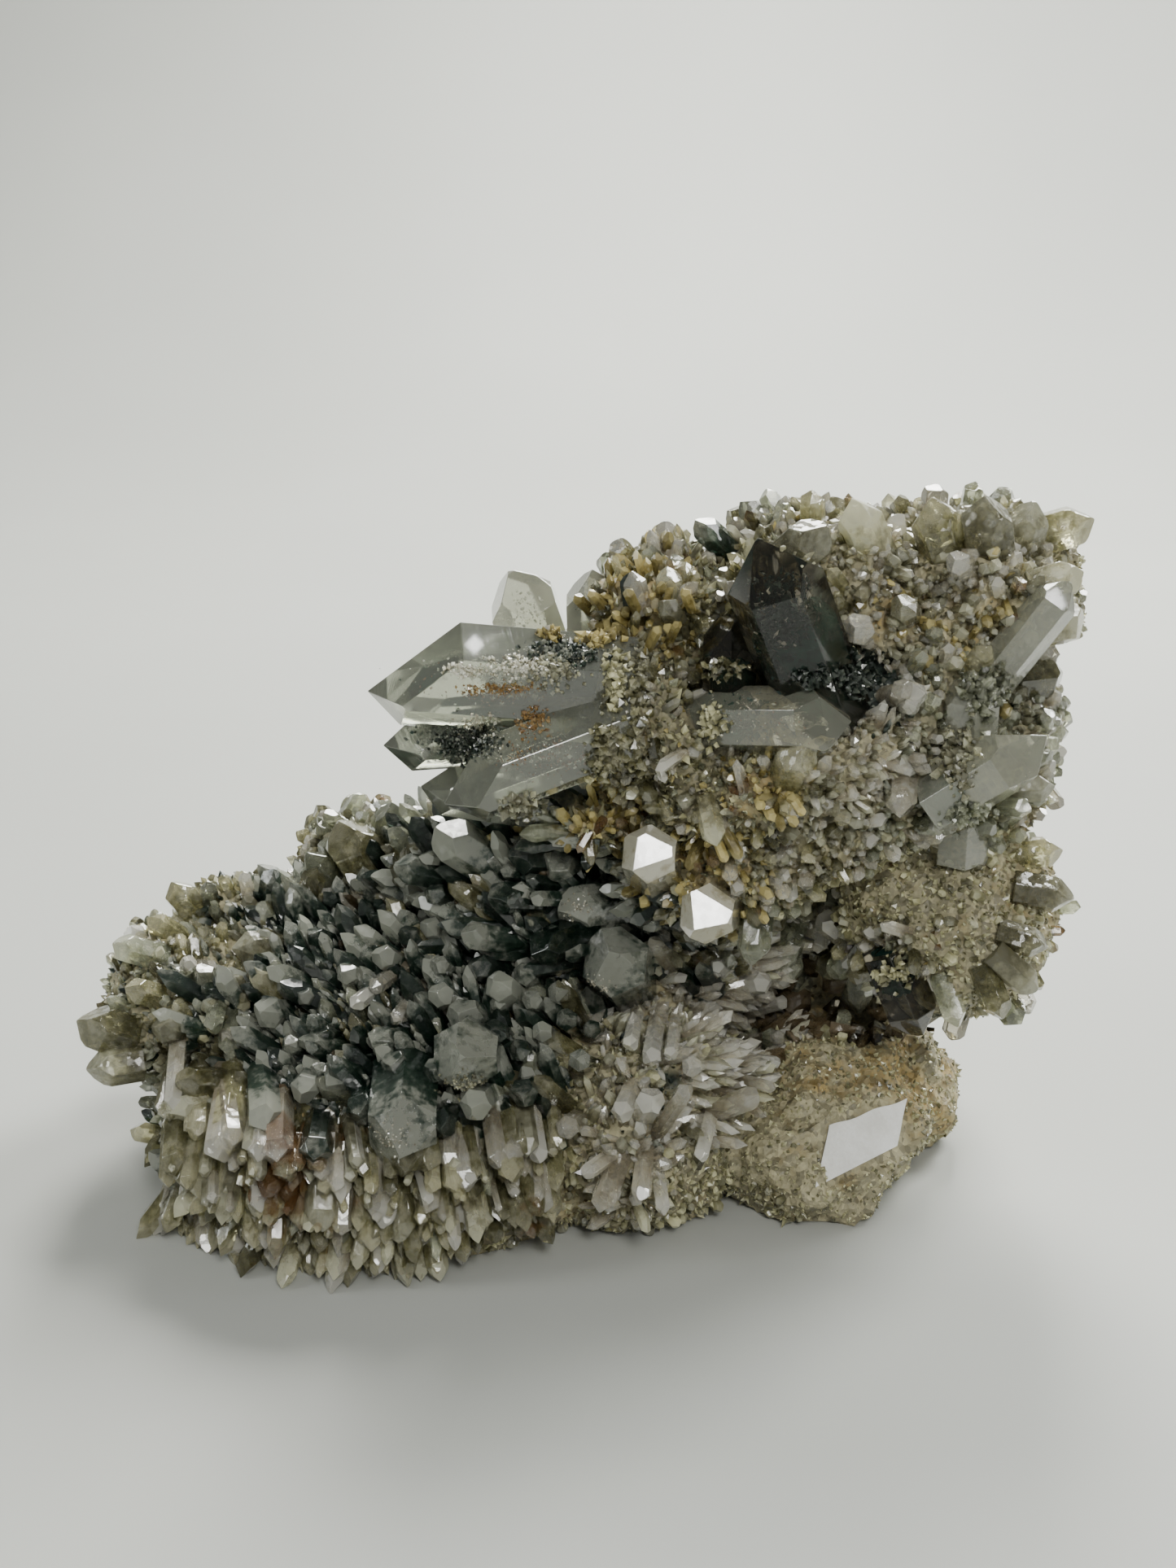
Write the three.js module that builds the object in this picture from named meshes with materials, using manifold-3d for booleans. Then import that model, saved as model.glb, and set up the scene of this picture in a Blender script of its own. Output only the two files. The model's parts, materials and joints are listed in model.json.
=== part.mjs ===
// Chlorite quartz crystal: one hand-sized cluster of clear quartz points, clouded inside by green
// chlorite, grown over a block of rock. A low plate thick with crystals runs to the left and to the
// front, and a taller block rises at the right and hangs over it, above a recess. A blank paper label
// is stuck on the foot. Millimetres, +Z up, X along the cluster and Y from its front to its back. The
// cluster rests on the flat cut under it, and the origin is at the middle of its base.
import * as THREE from "three";
import { mergeVertices } from "three/addons/utils/BufferGeometryUtils.js";
import Module from "manifold-3d";

const wasm = await Module();
wasm.setup();

// Driving dimensions, in millimetres and degrees.
// Places are read on a sight plane square to the eye's line of sight: u runs to the right and v runs
// down from the plane's top left corner. A third value, y, says how far back a place lies.
const EYE = new THREE.Vector3(0, -217.6, 123);
const LOOK_DOWN = 18;
const SIGHT_PLANE_DISTANCE = 232.6;
const SIGHT_PLANE_CENTRE = { u: 72.25, v: 96.35 };
const NEAREST_Y = -50;
const FARTHEST_Y = 50;
const SIGHT_STEP = 0.5;
const FARTHEST_ROOT = 20;
const BASE_MIDDLE = { x: -1.1, y: 6 };
const FIT_GAP = 0.3;
const EMBED = 1.5;
const TIP_SLOPE = 38.2;
const PEAK_TO_RADIUS = 1.1;
const LONGEST_PEAK = 0.7;
const APEX_STEP = [0, 0.12];
const OUTER_STEP = [0.15, 0.65];
const MEAN_STEP = 0.3;
const NEAR = 0.01;
const MERGE_DISTANCE = 1e-4;
const LUMP_DETAIL = 1;

// A repeatable source of numbers from 0 to 1.
function numberSource(seed) {
  let state = seed >>> 0;
  return () => {
    state = (Math.imul(state, 1664525) + 1013904223) >>> 0;
    return state / 4294967296;
  };
}

function between([low, high], random) {
  return low + (high - low) * random();
}

// The point at depth y that is seen at (u, v).
function place(u, v, y) {
  const across = (u - SIGHT_PLANE_CENTRE.u) / SIGHT_PLANE_DISTANCE;
  const down = (v - SIGHT_PLANE_CENTRE.v) / SIGHT_PLANE_DISTANCE;
  const pitch = THREE.MathUtils.degToRad(LOOK_DOWN);
  const ray = new THREE.Vector3(
    across,
    Math.cos(pitch) - down * Math.sin(pitch),
    -Math.sin(pitch) - down * Math.cos(pitch),
  );
  return ray.multiplyScalar((y - EYE.y) / ray.y).add(EYE);
}

// The rock: lumps that run into each other. Each has the middle of its mass at (u, v, y), its
// half-sizes in x, y and z, and a turn about X and Y in degrees.
const ROCK_LUMPS = [
  { name: "block core", at: [101, 90, 10], half: [25, 22, 20], turn: [0, 0] },
  { name: "crown", at: [100, 74, 8], half: [14, 14, 10], turn: [0, -15] },
  { name: "right crown", at: [119, 72, 12], half: [14, 14, 9.5], turn: [0, 8] },
  { name: "right flank", at: [118, 92, 8], half: [12, 15, 14], turn: [0, 0] },
  { name: "brow", at: [84.5, 77.5, 8], half: [12.5, 11, 8], turn: [0, 30] },
  { name: "nose", at: [80, 89, 2], half: [9, 12, 9], turn: [0, 0] },
  { name: "lower lobe", at: [117, 112, 2], half: [13, 13, 11], turn: [0, -10] },
  { name: "underside", at: [93, 103, 2], half: [15, 12, 9], turn: [0, -15] },
  { name: "chin", at: [75, 99, 4], half: [9, 9, 4], turn: [0, 0] },
  { name: "spine", at: [99, 118, 26], half: [19, 15, 27], turn: [0, 0] },
  { name: "foot", at: [99.5, 138.5, 2], half: [14.5, 17.5, 12], turn: [0, -14] },
  { name: "heel", at: [109, 133, 11], half: [8.5, 12, 10], turn: [0, -20] },
  { name: "plate", at: [52, 129, 2], half: [30, 23, 12], turn: [25, 0] },
  { name: "front edge", at: [44.5, 142.5, -9], half: [29, 16, 13], turn: [0, 0] },
  { name: "right plate", at: [79, 137, -4], half: [13.5, 15, 12.5], turn: [0, 0] },
  { name: "left end", at: [24, 124, 6], half: [13, 14, 9], turn: [15, 0] },
  { name: "left shoulder", at: [33, 115, 15], half: [11, 9, 7], turn: [0, 0] },
  { name: "rise", at: [66, 109, 14], half: [16, 14, 12], turn: [0, 0] },
  { name: "saddle", at: [82, 116, 13], half: [13, 12, 12], turn: [0, 0] },
  { name: "rear hump", at: [46, 107.5, 24], half: [10, 11, 8], turn: [0, 0] },
  { name: "plate back", at: [54, 118, 22], half: [32, 13, 12], turn: [0, 0] },
  { name: "back wall", at: [91, 100, 22], half: [24, 16, 21], turn: [0, 0] },
  { name: "back brow", at: [73, 86, 12], half: [10, 11, 8], turn: [0, 0] },
  { name: "back foot", at: [90, 132, 22], half: [22, 14, 14], turn: [0, 0] },
];

// The waves that make each lump's skin uneven: their height against its half-size, how fast they run
// along x, y and z, and how far they shift from one lump to the next.
const SKIN_WAVES = [
  { height: 0.06, run: [3.1, 2.7, 1.4], shift: 1.7 },
  { height: 0.05, run: [0, 5.3, 4.1], shift: 2.3 },
  { height: 0.04, run: [-6.1, 0, 7.9], shift: 0.7 },
];

// How far a lump's skin stands out in a direction from its middle, about 1.
function skinReach(direction, seed) {
  return SKIN_WAVES.reduce(
    (reach, { height, run, shift }) =>
      reach + height * Math.sin(direction.dot(new THREE.Vector3(...run)) + shift * seed),
    1,
  );
}

function lumpPlaces() {
  return ROCK_LUMPS.map(({ at, half, turn }, seed) => {
    const [turnX, turnY] = turn.map(THREE.MathUtils.degToRad);
    const matrix = new THREE.Matrix4().compose(
      place(...at),
      new THREE.Quaternion().setFromEuler(new THREE.Euler(turnX, turnY, 0)),
      new THREE.Vector3(...half),
    );
    return { matrix, inverse: matrix.clone().invert(), seed };
  });
}

const lumps = lumpPlaces();

function insideRock(point) {
  return lumps.some(({ inverse, seed }) => {
    const local = point.clone().applyMatrix4(inverse);
    const distance = local.length();
    return distance < skinReach(local.divideScalar(distance), seed);
  });
}

// The depth at which the sight line through (u, v) meets the rock, or nothing.
function depthOnRock(u, v) {
  for (let y = NEAREST_Y; y < FARTHEST_Y; y += SIGHT_STEP) {
    if (insideRock(place(u, v, y))) return y;
  }
  return undefined;
}

// The depth of the rock under a root. Where its sight line passes the rock by, the nearest rock
// further on from the tip is taken.
function rootDepth(tip, root) {
  const onward = new THREE.Vector2(root[0] - tip[0], root[1] - tip[1]).normalize();
  for (let moved = 0; moved < FARTHEST_ROOT; moved += SIGHT_STEP) {
    const depth = depthOnRock(root[0] + moved * onward.x, root[1] + moved * onward.y);
    if (depth !== undefined) return depth;
  }
  return 0;
}

function seenByEye(point) {
  const toEye = EYE.clone().sub(point).normalize();
  for (let moved = 1; moved < FARTHEST_Y - NEAREST_Y; moved += 2) {
    if (insideRock(point.clone().addScaledVector(toEye, moved))) return false;
  }
  return true;
}

// The geometry with only places left, and each corner shared by the faces that meet there.
function merged(geometry) {
  geometry.deleteAttribute("normal");
  geometry.deleteAttribute("uv");
  return mergeVertices(geometry, MERGE_DISTANCE);
}

// A closed solid from a geometry.
function solidOf(geometry) {
  const { attributes, index } = merged(geometry);
  return new wasm.Manifold(
    new wasm.Mesh({
      numProp: 3,
      vertProperties: attributes.position.array,
      triVerts: new Uint32Array(index.array),
    }),
  );
}

function geometryOf(solid) {
  const mesh = solid.getMesh();
  const geometry = new THREE.BufferGeometry();
  geometry.setAttribute("position", new THREE.BufferAttribute(mesh.vertProperties, 3));
  geometry.setIndex(new THREE.BufferAttribute(mesh.triVerts, 1));
  return geometry;
}

function joined(solids) {
  return solids.reduce((whole, solid) => whole.add(solid));
}

function lumpSolid({ matrix, seed }) {
  const ball = merged(new THREE.IcosahedronGeometry(1, LUMP_DETAIL));
  const points = ball.attributes.position;
  for (let i = 0; i < points.count; i += 1) {
    const point = new THREE.Vector3().fromBufferAttribute(points, i).normalize();
    point.multiplyScalar(skinReach(point, seed)).applyMatrix4(matrix);
    points.setXYZ(i, point.x, point.y, point.z);
  }
  return solidOf(ball);
}

// The placing of a point that stands on its root with its axis towards its tip.
function standingOn(root, tip, roll, flat) {
  const axis = tip.clone().sub(root).normalize();
  const up = Math.abs(axis.z) > 0.9 ? new THREE.Vector3(0, 1, 0) : new THREE.Vector3(0, 0, 1);
  const side = new THREE.Vector3().crossVectors(up, axis).normalize();
  side.applyAxisAngle(axis, THREE.MathUtils.degToRad(roll));
  const across = new THREE.Vector3().crossVectors(axis, side);
  const matrix = new THREE.Matrix4().makeBasis(side, across.multiplyScalar(flat), axis);
  return matrix.setPosition(root);
}

// A quartz point from its root to its tip: a six-sided prism whose end is cut by six sloping faces.
// Three faces run to the apex and three stand further out, as on real quartz. `spare` makes the same
// point larger all round, for the pocket that it stands in.
function quartzPoint({ tip, root, width, flat = 1, roll = 0, faces, spare = 0 }) {
  const length = tip.distanceTo(root) + spare;
  const radius = width / 2 + spare;
  const prism = new THREE.CylinderGeometry(radius, radius, length + spare, 6);
  prism.rotateX(Math.PI / 2);
  prism.translate(0, 0, (length - spare) / 2);
  let solid = solidOf(prism);
  const slope = THREE.MathUtils.degToRad(TIP_SLOPE);
  faces.forEach((stepOut, side) => {
    const around = ((side + 0.5) * Math.PI) / 3;
    const outward = new THREE.Vector3(
      Math.sin(around) * Math.cos(slope),
      Math.cos(around) * Math.cos(slope),
      Math.sin(slope),
    );
    const reach = (length + stepOut * radius) * Math.sin(slope);
    solid = solid.trimByPlane(outward.clone().negate().toArray(), -reach);
  });
  return solid.transform(standingOn(root, tip, roll, flat).toArray());
}

// A small point: a six-sided prism under a peak of six faces, with uneven shoulders and an apex a
// little off its axis.
function smallPoint({ tip, root, width, roll, faces }) {
  const length = tip.distanceTo(root);
  const radius = width / 2;
  const peak = Math.min(PEAK_TO_RADIUS * radius, LONGEST_PEAK * length);
  const shape = new THREE.CylinderGeometry(radius, radius, length - peak, 6);
  shape.rotateX(Math.PI / 2);
  shape.translate(0, 0, (length - peak) / 2);
  const points = shape.attributes.position;
  for (let i = 0; i < points.count; i += 1) {
    const corner = new THREE.Vector3().fromBufferAttribute(points, i);
    if (corner.z < length - peak - NEAR) continue;
    if (Math.hypot(corner.x, corner.y) < NEAR) {
      points.setXYZ(i, (faces[1] - faces[3]) * radius, (faces[3] - faces[5]) * radius, length);
    } else {
      const side = Math.floor((Math.atan2(corner.y, corner.x) * 3) / Math.PI + 6.25) % 6;
      points.setZ(i, corner.z + (faces[side] - MEAN_STEP) * radius);
    }
  }
  return solidOf(shape).transform(standingOn(root, tip, roll, 1).toArray());
}

// Six steps of the tip's faces: even ones at the apex, odd ones standing out.
function tipFaces(random) {
  return [0, 1, 2, 3, 4, 5].map((side) => between(side % 2 ? OUTER_STEP : APEX_STEP, random));
}

// A point's two ends from what is seen: its tip and root on the sight plane, and how far the tip
// comes forward of the rock behind it. The root is on the rock that the eye meets there, and is
// carried on along the axis until it is well inside.
function endsOf({ tip, root, lift, y }) {
  const depth = y ?? rootDepth(tip, root);
  const behindTip = y ?? depthOnRock(...tip) ?? depth;
  const tipPoint = place(...tip, Math.min(depth, behindTip) - lift);
  const rootPoint = place(...root, depth);
  const step = rootPoint.clone().sub(tipPoint).normalize();
  for (let moved = 0; moved < FARTHEST_ROOT && !insideRock(rootPoint); moved += SIGHT_STEP) {
    rootPoint.addScaledVector(step, SIGHT_STEP);
  }
  rootPoint.addScaledVector(step, EMBED);
  return { tip: tipPoint, root: rootPoint };
}

// The large points that stand out of the rock, each a piece of its own. Points that run into each
// other are one piece.
const LARGE_POINTS = {
  left_point_cluster: [
    { tip: [42.3, 82], root: [76, 84.6], width: 12.6, lift: 6, faces: [-0.9, 0.2, 0, 0, 0.2, -0.9] },
    { tip: [45, 89.8], root: [69, 88.5], width: 10.4, lift: 10, faces: [-0.8, 0.1, 0, 0, 0.3, -0.8] },
    { tip: [53, 98.2], root: [76, 89.5], width: 9.5, lift: 7, faces: [-0.6, 0.2, 0, 0.1, 0.4, -0.5] },
    { tip: [51.7, 96.6], root: [68, 99], width: 6.4, lift: 7, faces: [0, 0.3, 0.1, 0, 0.3, 0] },
  ],
  back_points: [
    { tip: [62.8, 70.2], root: [66, 79], width: 9.5, lift: 2, y: 13 },
    { tip: [72.8, 70], root: [73, 79], width: 7.5, lift: 2, y: 9 },
  ],
  block_points: [
    { tip: [93.2, 66.2], root: [101, 87], width: 11, lift: 7, roll: 15 },
    { tip: [90.3, 76.2], root: [90, 84], width: 8, lift: 5 },
    { tip: [104.4, 88.6], root: [88, 88.5], width: 8.6, lift: 7, flat: 0.95 },
  ],
  right_points: [
    { tip: [131.5, 71.5], root: [121.5, 84], width: 5.6, lift: 2, y: -2 },
    { tip: [128.6, 90.4], root: [116, 98], width: 11, lift: 3, flat: 0.7 },
    { tip: [119.5, 82.5], root: [118, 104], width: 7, lift: 3 },
  ],
  bright_point: [{ tip: [79.4, 103.8], root: [80.5, 107], width: 7.2, lift: 9 }],
  amber_point: [{ tip: [86.2, 112.8], root: [88, 111.5], width: 7.2, lift: 9 }],
  frosted_point: [{ tip: [74.8, 117], root: [77, 120], width: 9, lift: 10 }],
  green_point: [{ tip: [68.6, 111.8], root: [78.6, 111], width: 6.2, lift: 2 }],
  dark_points: [
    { tip: [49.2, 142.2], root: [50, 133], width: 9, lift: 6 },
    { tip: [56.8, 130], root: [58, 129], width: 8.6, lift: 10 },
  ],
  hanging_point: [{ tip: [113.2, 127.2], root: [109.5, 118], width: 7, lift: 1 }],
};

// The smaller points that are grown into the rock, by where they stand. Each row is the tip's u and
// v, the root's u and v, the width across and how far the tip comes forward.
const SMALL_POINTS = {
  "under the overhang": [
    [62.5, 105.2, 70, 105.5, 4.6, 4],
    [67.6, 107, 71, 105, 4.4, 4],
    [56.7, 114.8, 63, 115.5, 3.8, 4],
    [65.2, 117.3, 71.5, 114.5, 5, 5],
    [60, 110.3, 65, 110.5, 4.2, 4],
    [53.4, 101.8, 60, 106, 6, 3],
    [82.6, 111.9, 80, 108, 4.2, 3],
  ],
  "dark field": [
    [58, 118.5, 62, 120, 4, 5],
    [60.7, 120.6, 63.5, 123, 4.6, 6],
    [56.4, 124.6, 58.5, 125.5, 5.4, 6],
    [48.4, 106.4, 55, 107.6, 4.8, 3],
    [44.6, 106.4, 46, 111, 3.4, 2],
    [50, 108.8, 52, 111.5, 4.4, 5],
    [41.5, 113.8, 44.5, 114.6, 3.4, 4],
    [38, 114.8, 41, 116, 3.2, 4],
    [52.5, 113.5, 54.5, 115.5, 3.4, 5],
    [32, 124.4, 35, 124.6, 4.8, 5],
    [40.2, 133.4, 44.2, 131.2, 4.2, 5],
    [32.6, 138.8, 32.2, 132.6, 5, 5],
    [45.6, 128.2, 49.5, 127.8, 4.6, 5],
    [66.4, 126.6, 67.6, 127.6, 3.2, 6],
    [63.5, 128.8, 65, 130, 3.4, 6],
    [53.6, 118.4, 55.4, 119.4, 3, 5],
    [35, 128.4, 38, 128.6, 3, 5],
    [53.2, 131.6, 55, 131.2, 3.8, 6],
    [50.2, 106, 53.5, 108.5, 4.2, 4],
    [52.8, 109.4, 55.5, 111, 3.6, 5],
    [46.5, 117.2, 49, 118.6, 3.8, 5],
    [42, 119.4, 44.5, 120.2, 3.4, 5],
    [49.8, 114.6, 51.6, 116.2, 3.4, 5],
    [64, 119.4, 66, 121, 3.6, 6],
    [69.4, 125, 70.6, 126.4, 3.4, 6],
    [60.5, 126.5, 62, 128, 3.8, 6],
    [53.8, 122, 55.4, 123.2, 3.8, 6],
    [48, 131, 50, 130.6, 4.2, 6],
    [44, 137, 45.6, 134.4, 4.6, 6],
    [37, 134.4, 38.6, 132, 4.2, 5],
    [39, 127.4, 41, 127.2, 3.8, 5],
    [58, 136.2, 59.6, 134.6, 4.6, 6],
    [64, 134.6, 65.4, 133.4, 4.2, 6],
    [54, 138.8, 55, 136.2, 4.4, 6],
    [38.6, 142.4, 39.4, 138, 4.6, 5],
  ],
  "left end": [
    [9.4, 125.4, 15, 127, 7.4, 2],
    [10.6, 131.5, 16, 130.6, 6, 2],
    [13.8, 116, 19, 117.4, 4.6, 2],
    [21, 108.4, 24.5, 112.6, 5.2, 1],
    [28.6, 116.6, 34.5, 116, 4.8, 3],
    [25.4, 108.4, 26, 111, 3, 1],
    [21.6, 133, 27, 133, 4.6, 4],
    [20.8, 136.8, 25.4, 135.4, 3.8, 4],
    [28.4, 130.2, 28.2, 125.4, 3.6, 3],
    [15.4, 121.4, 19, 122.4, 4.4, 3],
    [19.6, 126.4, 21.6, 126.6, 4.2, 4],
    [24.4, 119.6, 26, 120.6, 4, 4],
    [18, 112.8, 21.4, 114.8, 3.6, 2],
    [20.2, 142.6, 25, 139.6, 4.2, 4],
    [26, 126.6, 27, 123, 3, 4],
  ],
  "rear hump": [
    [41.5, 100.9, 45.5, 107, 7.6, 2],
    [48.2, 98.6, 47.4, 105, 4.6, 1],
    [52.4, 101.6, 50.5, 107, 5.6, 1],
    [37.6, 104.8, 41.4, 109, 4.2, 1],
  ],
  "right fan": [
    [94.6, 120.6, 90.6, 121.2, 4.8, 5],
    [96.7, 123, 90.5, 124.8, 3.2, 4],
    [96.2, 127.4, 90.6, 128.2, 3, 4],
    [95.9, 130.6, 90.4, 130, 2.6, 4],
    [95.3, 133.8, 90.4, 132.4, 2.4, 4],
    [93.2, 134.6, 87, 136.8, 4.6, 5],
    [84.8, 131.2, 86, 130.4, 4.2, 6],
    [80.2, 134.8, 79, 137, 5.6, 6],
    [84.6, 133.4, 80.5, 139.6, 3.3, 5],
    [86, 142.6, 87.6, 136, 3.1, 5],
    [69.4, 138.8, 71, 137.6, 4.6, 6],
    [62.6, 142.4, 64.6, 138.6, 4.4, 6],
    [73.6, 149, 76, 142.6, 5, 4],
    [78.6, 147.6, 79.4, 141.6, 4, 5],
    [81.6, 149.4, 80.6, 143, 3, 4],
    [71.6, 144.4, 76, 141.4, 3.2, 5],
    [76.2, 137.2, 77.6, 134, 4.6, 5],
  ],
  "under the block": [
    [92.4, 118.6, 93, 112.6, 4.2, 3],
    [95.6, 119.6, 98, 112.8, 4.2, 3],
    [101.2, 120.2, 103, 116.4, 3.4, 4],
    [105.6, 124.6, 104.8, 118.4, 4.2, 2],
    [117.8, 126.2, 116, 121, 3, 2],
    [123.2, 125.2, 121, 120, 3.6, 2],
  ],
  "block face": [
    [105.2, 77.2, 106, 77.6, 4.6, 7],
    [110.9, 74.4, 111.4, 75.4, 4, 5],
    [113.6, 85.2, 109.6, 85.8, 4.6, 4],
    [98.6, 91.8, 97, 95, 5.6, 4],
    [89.4, 71.6, 92, 74.4, 3.4, 3],
    [81.6, 73.8, 83.6, 77, 3.4, 3],
    [77.8, 82.2, 80, 83, 3, 4],
    [110.6, 100.4, 110.8, 96, 4.4, 4],
    [88, 104, 87, 99.6, 3.4, 4],
    [121.8, 79.4, 119, 82.6, 3.4, 3],
    [117.4, 68.8, 118.6, 70.2, 3.6, 5],
    [128.2, 77.4, 125.6, 80, 3.8, 3],
  ],
  "block outline": [
    [85.4, 63.9, 89.8, 67.8, 3.6, 1],
    [82, 69.6, 82.4, 73, 3.2, 0],
    [99.7, 60.2, 100, 65, 3, 1],
    [104.6, 61.2, 107, 67, 5.4, 2],
    [101.6, 64.6, 96.6, 69, 6, 4],
    [114.4, 61.2, 116, 67, 6.4, 2],
    [120.8, 61, 121.4, 67, 6.6, 2],
    [127, 61.6, 125.6, 67, 5, 1],
    [134.5, 63.9, 127, 66, 5.4, 1],
    [133.2, 70.4, 128, 72, 4.6, 0],
    [133.2, 76, 127.6, 77, 5.4, -3],
    [130.4, 83, 125, 83.6, 5.6, -3],
    [129.6, 96.6, 124, 97, 3.6, 0],
    [132, 110.4, 126, 109.4, 4.6, 1],
    [130.6, 104.4, 125, 105, 4, 0],
    [128.8, 116.4, 124, 115, 3.6, 1],
    [127.4, 121.8, 123, 118, 3.8, 1],
  ],
};

// The row of long points that hang side by side over the front edge, from left to right.
const FRINGE = {
  count: 15,
  tipsFrom: [19.4, 145.6],
  tipsThrough: [38, 158.5],
  tipsTo: [69, 150.4],
  lengths: [8.2, 12.6],
  widths: [3, 5],
  tipRise: [0, 1.5],
  rootShift: [0.4, 1.6],
  lift: 3,
};

// The blank paper label, stuck on a flat broken face of the foot. Three of its corners are where they
// are seen, and the face lies a little under the rounded rock around it.
const LABEL = {
  lowLeft: [100.4, 144.9],
  lowRight: [111.3, 140.1],
  topLeft: [101.5, 139.4],
  width: 12.7,
  height: 5.8,
  thickness: 0.3,
  margin: 1,
  faceDepth: 0.8,
};

// Points all over the sides that the eye doesn't meet: how many are tried on each lump, and their
// size.
const HIDDEN_POINTS = { triesPerLump: 2, width: 6, length: 6.5, sizes: [0.6, 1.3], lowest: 3 };
const ROLLS = [0, 60];

function smallPoints() {
  const random = numberSource(7);
  const rows = Object.values(SMALL_POINTS).flat();
  return rows.map(([tipU, tipV, rootU, rootV, width, lift]) => ({
    ...endsOf({ tip: [tipU, tipV], root: [rootU, rootV], lift }),
    width,
    roll: between(ROLLS, random),
    faces: tipFaces(random),
  }));
}

function fringePoints() {
  const random = numberSource(21);
  const along = new THREE.QuadraticBezierCurve(
    new THREE.Vector2(...FRINGE.tipsFrom),
    new THREE.Vector2(...FRINGE.tipsThrough),
    new THREE.Vector2(...FRINGE.tipsTo),
  );
  return along.getSpacedPoints(FRINGE.count - 1).map(({ x: u, y: v }) => {
    const tip = [u, v - between(FRINGE.tipRise, random)];
    const root = [u + between(FRINGE.rootShift, random), v - between(FRINGE.lengths, random)];
    return {
      ...endsOf({ tip, root, lift: FRINGE.lift }),
      width: between(FRINGE.widths, random),
      roll: between(ROLLS, random),
      faces: tipFaces(random),
    };
  });
}

function hiddenPoints() {
  const random = numberSource(5);
  const points = [];
  lumps.forEach((lump) => {
    for (let i = 0; i < HIDDEN_POINTS.triesPerLump; i += 1) {
      const height = 2 * random() - 1;
      const angle = 2 * Math.PI * random();
      const ring = Math.sqrt(1 - height * height);
      const direction = new THREE.Vector3(ring * Math.cos(angle), ring * Math.sin(angle), height);
      const size = between(HIDDEN_POINTS.sizes, random);
      const roll = between(ROLLS, random);
      const faces = tipFaces(random);
      const skin = direction.clone().multiplyScalar(skinReach(direction, lump.seed));
      const root = skin.clone().applyMatrix4(lump.matrix);
      const outer = skin.multiplyScalar(2).applyMatrix4(lump.matrix);
      const outward = outer.sub(root).normalize();
      const tip = root.clone().addScaledVector(outward, HIDDEN_POINTS.length * size);
      if (seenByEye(tip) || tip.z < HIDDEN_POINTS.lowest || insideRock(tip)) continue;
      root.addScaledVector(outward, -EMBED);
      points.push({ tip, root, width: HIDDEN_POINTS.width * size, roll, faces });
    }
  });
  return points;
}

function largePieces() {
  const random = numberSource(3);
  return Object.entries(LARGE_POINTS).map(([name, members]) => {
    const points = members.map((member) => ({
      faces: tipFaces(random),
      ...member,
      ...endsOf(member),
    }));
    return {
      name,
      solid: joined(points.map((point) => quartzPoint(point))),
      pocket: joined(points.map((point) => quartzPoint({ ...point, spare: FIT_GAP }))),
    };
  });
}

// The label lying on its face, and the space in front of that face.
function labelSolids() {
  const corner = (name) => place(...LABEL[name], depthOnRock(...LABEL[name]));
  const right = corner("lowRight").sub(corner("lowLeft")).normalize();
  const rise = corner("topLeft").sub(corner("lowLeft"));
  const outward = new THREE.Vector3().crossVectors(right, rise).normalize();
  const up = new THREE.Vector3().crossVectors(outward, right);
  const middle = corner("topLeft").lerp(corner("lowRight"), 0.5);
  middle.addScaledVector(outward, -LABEL.faceDepth);
  const matrix = new THREE.Matrix4().makeBasis(right, up, outward).setPosition(middle);
  const { width, height, thickness, margin } = LABEL;
  const sheet = new THREE.BoxGeometry(width, height, thickness);
  sheet.translate(0, 0, FIT_GAP + thickness / 2);
  const space = new THREE.BoxGeometry(width + 2 * margin, height + 2 * margin, width);
  space.translate(0, 0, width / 2);
  return {
    sheet: solidOf(sheet.applyMatrix4(matrix)),
    space: solidOf(space.applyMatrix4(matrix)),
  };
}

// The pockets cut a few small points right off, and those are not kept.
function largestBody(solid) {
  return solid.decompose().reduce((kept, body) => (body.volume() > kept.volume() ? body : kept));
}

const large = largePieces();
const label = labelSolids();
const grown = [...smallPoints(), ...fringePoints(), ...hiddenPoints()];
const rock = joined([
  ...lumps.map((lump) => lumpSolid(lump)),
  ...grown.map((point) => smallPoint(point)),
])
  .subtract(joined(large.map(({ pocket }) => pocket)))
  .subtract(label.space)
  .trimByPlane([0, 0, 1], 0);

const rockMaterial = new THREE.MeshStandardMaterial({ color: 0x77715c, roughness: 0.8 });
const quartzMaterial = new THREE.MeshStandardMaterial({
  color: 0xaab0a8,
  roughness: 0.15,
  transparent: true,
  opacity: 0.6,
});
const paperMaterial = new THREE.MeshStandardMaterial({ color: 0xe9e8e4, roughness: 0.85 });

const cluster = new THREE.Group();
function addPiece(name, solid, material) {
  const mesh = new THREE.Mesh(geometryOf(solid), material);
  mesh.name = name;
  mesh.position.set(-BASE_MIDDLE.x, -BASE_MIDDLE.y, 0);
  cluster.add(mesh);
}

addPiece("crystal_covered_rock", largestBody(rock), rockMaterial);
large.forEach(({ name, solid }) => addPiece(name, solid, quartzMaterial));
addPiece("paper_label", label.sheet, paperMaterial);

export default cluster;
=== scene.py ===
# %% [markdown]
# # A chlorite quartz cluster
# The real object is a hand-sized piece of rock that quartz has grown over. A low plate, thick with
# small crystals, runs to the left, and a taller block hangs over it at the right. Green chlorite
# settled on the crystals while they grew, so many are dark at the root and pale at the tip, and
# some hold a green ghost of an earlier, smaller crystal.
#
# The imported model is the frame: it gives the size and where each large crystal stands. Everything
# here is built in millimetres in the same way as that model and then brought to metres. Each source
# of chance gets a fixed seed, so that the same cluster grows each time.

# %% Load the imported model
import json
import math

import bmesh
import bpy
import numpy as np
from mathutils import Matrix, Vector, noise
from mathutils.bvhtree import BVHTree
from mathutils.kdtree import KDTree

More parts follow.
